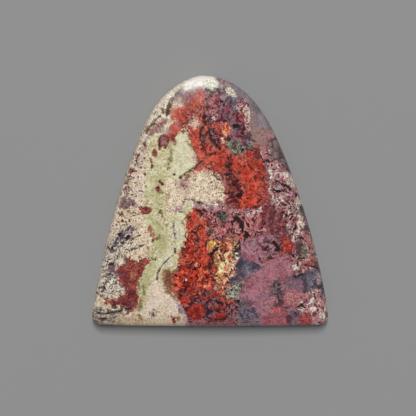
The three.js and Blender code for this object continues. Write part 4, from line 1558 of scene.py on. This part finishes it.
# From the bottom to the top
LAYERS = [
    Layer("mist", MIST, mist, 1.4, 0.6, fills=True),
    Layer("amber", AMBER, amber, 1.4, 0.6, fills=True),
    Layer("smoke", SMOKE, smoke, 0.7, 0.25, fills=True),
    Layer("mauve", MAUVE, mauve, 1.4, 0.3, fills=True),
    Layer("rosy", ROSY, plain(47, 176, 108, 118), 1.4, 0.8, cover=0.6),
    Layer("smog", SMOG, plain(48, 122, 98, 112), 1.4, 0.6, cover=0.7),
    Layer("slate", SLATE, slate, 1.4, 0.35, fills=True),
    Layer("shade", SHADE, shade, 1.4, 0.25, cover=0.9),
    Layer("navy", NAVY, plain(61, 62, 58, 80), 1.2, 0.4, cover=0.8),
    Layer("flush", FLUSH, plain(62, 164, 88, 98), 1.4, 0.5, cover=0.8),
    # Pale haze, with a painted glint in it
    Layer("haze_and_glint", HAZE_AND_GLINT, plain(38, 150, 146, 158), 1.0, 0.8, cover=0.5),
    Layer("tawny", TAWNY, plain(56, 160, 126, 116), 1.2, 0.8, cover=0.6),
    Layer("violet", VIOLET, violet, 1.2, 0.35, cover=0.95),
    Layer("cream", CREAM, cream, 1.0, 0.12, fills=True, rim=0.3),
    Layer("bisque", BISQUE, plain(49, 230, 211, 194, 0.85), 1.4, 0.6, cover=0.6),
    Layer("tan", TAN, plain(39, 204, 178, 146), 1.2, 0.5, cover=0.8),
    Layer("shell", SHELL, plain(40, 208, 174, 154), 1.2, 0.6, cover=0.7),
    Layer("rust", RUST, rust, 1.4, 0.2),
    Layer("lime", LIME, lime, 1.2, 0.25, fills=True),
    Layer("moss", MOSS, plain(50, 178, 173, 122, 0.82), 1.6, 0.6, cover=0.7),
    Layer("glade", GLADE, plain(57, 222, 215, 182, 0.86), 1.2, 0.5, cover=0.85),
    Layer("chalk", CHALK, plain(41, 212, 202, 178), 1.0, 0.3, cover=0.9),
    Layer("chaff", CHAFF, plain(45, 236, 221, 202), 1.2, 0.25, cover=0.85),
    Layer("grit", GRIT, plain(46, 86, 62, 58), 1.0, 0.5, mask=speckle),
    Layer("pepper", PEPPER, pepper, 2.4, 0.4),
    Layer("pitch", PITCH, pitch, 2.0, 0.3, cover=0.95),
    Layer("dusk", DUSK, dusk, 1.6, 0.3),
    Layer("coral", CORAL, coral, 1.8, 0.6),
    Layer("brick", BRICK, brick, 1.6, 0.12, fills=True, rim=0.4),
    Layer("blush", BLUSH, blush, 1.2, 0.8, cover=0.85),
    Layer("meal", MEAL, plain(51, 218, 182, 162), 1.6, 0.25, cover=0.9),
    Layer("oxblood", OXBLOOD, oxblood, 0.9, 0.08, fills=True, rim=0.5),
    Layer("claret", CLARET, plain(59, 104, 42, 50), 1.4, 0.5, cover=0.6),
    Layer("ember", EMBER, ember, 1.4, 0.06, fills=True, rim=0.25),
    Layer("cinder", CINDER, cinder, 1.4, 0.2),
    Layer("fire", FIRE, fire, 1.8, 0.12, fills=True),
    Layer("madder", MADDER, madder, 2.0, 0.2, fills=True),
    Layer("plum", PLUM, plum, 2.0, 0.2, fills=True),
    Layer("dusky", DUSKY, dusky, 2.0, 0.25, fills=True),
    Layer("crimson", CRIMSON, crimson, 2.0, 0.4, cover=0.9),
    Layer("wine", WINE, wine, 1.6, 0.15),
    Layer("rift", RIFT, rift, 1.0, 0.15, cover=0.9),
    Layer("lace", LACE, lace, 2.0, 0.12, fills=True, rim=0.5),
    Layer("sage", SAGE, sage, 1.4, 0.1, rim=0.5),
    Layer("reed", REED, reed, 1.4, 0.1, rim=0.5),
    Layer("scarlet", SCARLET, scarlet, 0.9, 0.1, rim=0.45),
    Layer("cherry", CHERRY, cherry, 0.9, 0.1, rim=0.6),
    Layer("berry", BERRY, berry, 1.2, 0.3, cover=0.85),
    Layer("orange", ORANGE, plain(42, 186, 98, 74), 1.0, 0.15),
    Layer("blaze", BLAZE, blaze, 0.9, 0.15),
    Layer("frill", FRILL, frill, 1.2, 0.12, cover=0.95),
    Layer("salmon", SALMON, plain(52, 190, 82, 78), 1.0, 0.2, cover=0.9),
    Layer("lilac", LILAC, plain(23, 168, 146, 150), 0.8, 0.2, cover=0.9),
    Layer("peach", PEACH, plain(24, 226, 168, 124), 0.7, 0.12),
    Layer("rose", ROSE, plain(25, 178, 116, 118), 0.8, 0.15),
    Layer("olive", OLIVE, plain(26, 124, 114, 68), 0.7, 0.2, cover=0.85),
    Layer("umber", UMBER, plain(27, 96, 74, 54), 0.9, 0.12, cover=0.92),
    Layer("toast", TOAST, plain(53, 160, 104, 78), 0.8, 0.15),
    Layer("husk", HUSK, plain(58, 138, 84, 58), 1.0, 0.25, cover=0.9),
    Layer("grape", GRAPE, plain(54, 108, 72, 88), 1.0, 0.25, cover=0.85),
    Layer("garnet", GARNET, garnet, 0.8, 0.12),
    Layer("blood", BLOOD, garnet, 0.4, 0.1, rim=0.5),
    Layer("maroon", MAROON, plain(43, 88, 46, 50), 0.9, 0.15, cover=0.85),
    Layer("veil", VEIL, plain(36, 160, 128, 134), 0.9, 0.5, cover=0.75),
    Layer("cap", CAP, cap, 0.8, 0.7),
    Layer("parch", PARCH, plain(55, 224, 224, 198), 0.8, 0.5, cover=0.8),
    # White specks, with painted glints among them
    Layer("milk_and_glints", MILK_AND_GLINTS, plain(29, 228, 218, 204), 0.7, 0.12),
    Layer("ivory", IVORY, plain(32, 224, 212, 186), 0.8, 0.15, cover=0.85),
    Layer("gold", GOLD, plain(33, 224, 166, 84), 0.7, 0.15),
    Layer("candle", CANDLE, plain(34, 252, 224, 168), 0.7, 0.2),
    Layer("sludge", SLUDGE, sludge, 0.8, 0.15, cover=0.95),
    Layer("soot", SOOT, plain(44, 74, 64, 66), 0.8, 0.15, cover=0.8),
    Layer("ink", INK, plain(30, 46, 28, 28), 0.5, 0.1),
    Layer("seam", SEAM, plain(60, 46, 26, 24), 0.5, 0.1, cover=0.85),
    Layer("crack", CRACK, plain(31, 48, 22, 24), 0.9, 0.12, cover=0.85),
]
GAP_FILL = 0.5  # how far from its edge a mineral still fills a gap, in millimetres
RIM_WIDTH = 0.16
RIM_TONE = (70, 34, 34)

# The polish of the front, and the saw-marked back: its roughness is added to the polish
POLISH = 0.1
POLISH_CHANGE = 0.04
GROUND = 0.42
GROUND_CHANGE = 0.3
SAW_ANGLE = 24
SAW_STRETCH = 12.0  # how many times longer than wide the marks are
GROUND_TONE = (184, 172, 166)
GROUND_SHARE = 0.22  # of that tone in the back's colour
AGATE_IOR = 1.54


def wander(n, seed):
    """How far zones' edges wander, with finer bends on broad ones."""
    broad = n.noise(1.2, seed, detail=3.0, roughness=0.65)
    fine = n.noise(3.2, seed + 1)
    return n.math("ADD", broad, n.math("MULTIPLY", fine, 0.6))


def with_painted_edge_light(n, base, edge_light):
    """The colour with painted light on a stretch of the dome's edge."""
    lighter = n.mix(1.0, base, (*edge_light.strength, 1.0), blend="MULTIPLY")
    lighter = n.mix(1.0, lighter, (*edge_light.brightest, 1.0), blend="DARKEN")
    return n.mix(n.attribute(edge_light.name), base, lighter)


def agate_colour(n):
    """The minerals over one another. Each zone's attribute is its depth inside the zone's edge."""
    base = n.group("quartz", quartz)
    wanders = [wander(n, seed) for seed in (31, 34)]
    broken = n.step(n.noise(1.6, 37, detail=3.0), -0.15, 0.2)
    deepest = -GAP_FILL
    for number, layer in enumerate(LAYERS):
        depth = n.math("MULTIPLY_ADD", wanders[number % 2], layer.ragged, n.attribute(layer.name))
        value = depth
        if layer.fills:
            value = n.math("SUBTRACT", depth, n.math("MINIMUM", deepest, 0.0))
            deepest = n.math("MAXIMUM", deepest, depth)
        share = n.step(value, -layer.soft, layer.soft)
        if layer.cover < 1:
            share = n.math("MULTIPLY", share, layer.cover)
        if layer.mask:
            share = n.math("MULTIPLY", share, layer.mask(n))
        base = n.mix(share, base, n.group(layer.name, layer.texture))
        if layer.rim:
            band = n.step(n.math("ABSOLUTE", value), RIM_WIDTH, 0.0)
            band = n.math("MULTIPLY", n.math("MULTIPLY", band, broken), layer.rim)
            base = n.mix(band, base, colour(*RIM_TONE))
    # Painted light and sheen along the dome's edge, over all the minerals
    for edge_light in PAINTED_EDGE_LIGHTS:
        base = with_painted_edge_light(n, base, edge_light)
    return base


def agate_roughness(n):
    """A polish that varies a little on the front, and a ground back with the marks of the saw."""
    polish = n.math("MULTIPLY_ADD", n.noise(0.7, 2), POLISH_CHANGE, POLISH)
    marks = n.noise(0.5, 3, detail=3.0, place=n.drawn_out(3, SAW_ANGLE, SAW_STRETCH))
    ground = n.math("MULTIPLY_ADD", marks, GROUND_CHANGE, GROUND)
    return n.math("MULTIPLY_ADD", n.attribute("ground"), ground, polish)


def agate_material():
    material = bpy.data.materials.new("polished_agate")
    material.use_nodes = True
    n = Nodes(material.node_tree)
    n.find_places()
    shader = material.node_tree.nodes["Principled BSDF"]
    base = agate_colour(n)
    dulled = n.math("MULTIPLY", n.attribute("ground"), GROUND_SHARE)
    n.plug(shader.inputs["Base Color"], n.mix(dulled, base, colour(*GROUND_TONE)))
    n.plug(shader.inputs["Roughness"], agate_roughness(n))
    shader.inputs["IOR"].default_value = AGATE_IOR
    return material


def build_stone():
    points, faces, depths, first_back = stone_mesh()
    mesh = bpy.data.meshes.new("agate_cabochon")
    mesh.from_pydata((points * MM).tolist(), [], faces)
    mesh.update()
    mesh.shade_smooth()
    add_zones(mesh, photo_places(points, depths), depths)
    add_attribute(mesh, "ground", depths > GIRDLE_TOP)
    add_bake_map(mesh, points, first_back)
    mesh.materials.append(agate_material())
    stone = bpy.data.objects.new("agate_cabochon", mesh)
    bpy.context.scene.collection.objects.link(stone)
    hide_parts("cabochon")
    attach(stone, "root")


# Stage. Its sizes are in metres

FLOOR_HALF = 2.0
FLOOR_GREY = 146
WORLD_LIGHT = 0.16
LIGHT_DISTANCE = 2.0  # of every panel, from the middle of the back
SOFTBOXES = (0.6, 1.0, 1.4)  # heights of the panels that only the polish mirrors, one over another
SOFTBOX_ASPECT = 1.6


def add_floor():
    material = bpy.data.materials.new("floor_grey")
    material.use_nodes = True
    shader = material.node_tree.nodes["Principled BSDF"]
    shader.inputs["Base Color"].default_value = colour(FLOOR_GREY, FLOOR_GREY, FLOOR_GREY)
    shader.inputs["Roughness"].default_value = 0.9
    shader.inputs["Specular IOR Level"].default_value = 0.0
    mesh = bpy.data.meshes.new("floor")
    corners = [(FLOOR_HALF * x, FLOOR_HALF * y, 0) for x, y in ((-1, -1), (1, -1), (1, 1), (-1, 1))]
    mesh.from_pydata(corners, [], [(0, 1, 2, 3)])
    mesh.materials.append(material)
    floor = bpy.data.objects.new("floor", mesh)
    bpy.context.scene.collection.objects.link(floor)


def add_camera():
    """Looks straight down, with the photograph's scale at the top of the wall."""
    data = bpy.data.cameras.new("camera")
    field = PHOTO_SIZE * MM_PER_PX
    data.lens = data.sensor_width * (CAMERA_HEIGHT - GIRDLE_TOP) / field
    data.clip_start = 0.01
    data.clip_end = 10
    camera = bpy.data.objects.new("camera", data)
    camera.location = (PHOTO_MIDDLE[0] * MM, PHOTO_MIDDLE[1] * MM, CAMERA_HEIGHT * MM)
    bpy.context.scene.collection.objects.link(camera)
    bpy.context.scene.camera = camera


def add_world():
    world = bpy.data.worlds.new("studio")
    world.use_nodes = True
    background = world.node_tree.nodes["Background"]
    background.inputs["Color"].default_value = (1, 1, 1, 1)
    background.inputs["Strength"].default_value = WORLD_LIGHT
    bpy.context.scene.world = world


def place_light(light, azimuth, elevation):
    """Puts a light where it faces the stone. Azimuth 0 is at the tip's side, and 90 at the right."""
    turn = math.radians(azimuth)
    rise = math.radians(elevation)
    light.location = (
        LIGHT_DISTANCE * math.sin(turn) * math.cos(rise),
        LIGHT_DISTANCE * math.cos(turn) * math.cos(rise),
        LIGHT_DISTANCE * math.sin(rise),
    )
    light.rotation_euler = (math.radians(elevation - 90), 0, -turn)
    bpy.context.scene.collection.objects.link(light)


def add_panel(name, azimuth, elevation, width, height, radiance, mirrored):
    """A flat light. The polish mirrors it or it gives colour and shadow, but not both."""
    data = bpy.data.lights.new(name, "AREA")
    data.shape = "RECTANGLE"
    data.size = width
    data.size_y = height
    data.energy = radiance * math.pi * width * height
    light = bpy.data.objects.new(name, data)
    light.visible_diffuse = not mirrored
    light.visible_glossy = mirrored
    place_light(light, azimuth, elevation)


def add_lights():
    """A long panel above gives the colour and the shadow below the foot, and softboxes give the sheen."""
    add_panel("overhead", 0, 73, width=0.2, height=1.22, radiance=46.5, mirrored=False)
    for number, height in enumerate(SOFTBOXES):
        width = height * SOFTBOX_ASPECT
        add_panel(f"softbox_{number}", -14, 22, width, height, radiance=2.0, mirrored=True)


build_stone()
add_floor()
add_camera()
add_world()
add_lights()
bpy.context.scene.view_settings.view_transform = "Standard"
bpy.context.scene.view_settings.look = "None"
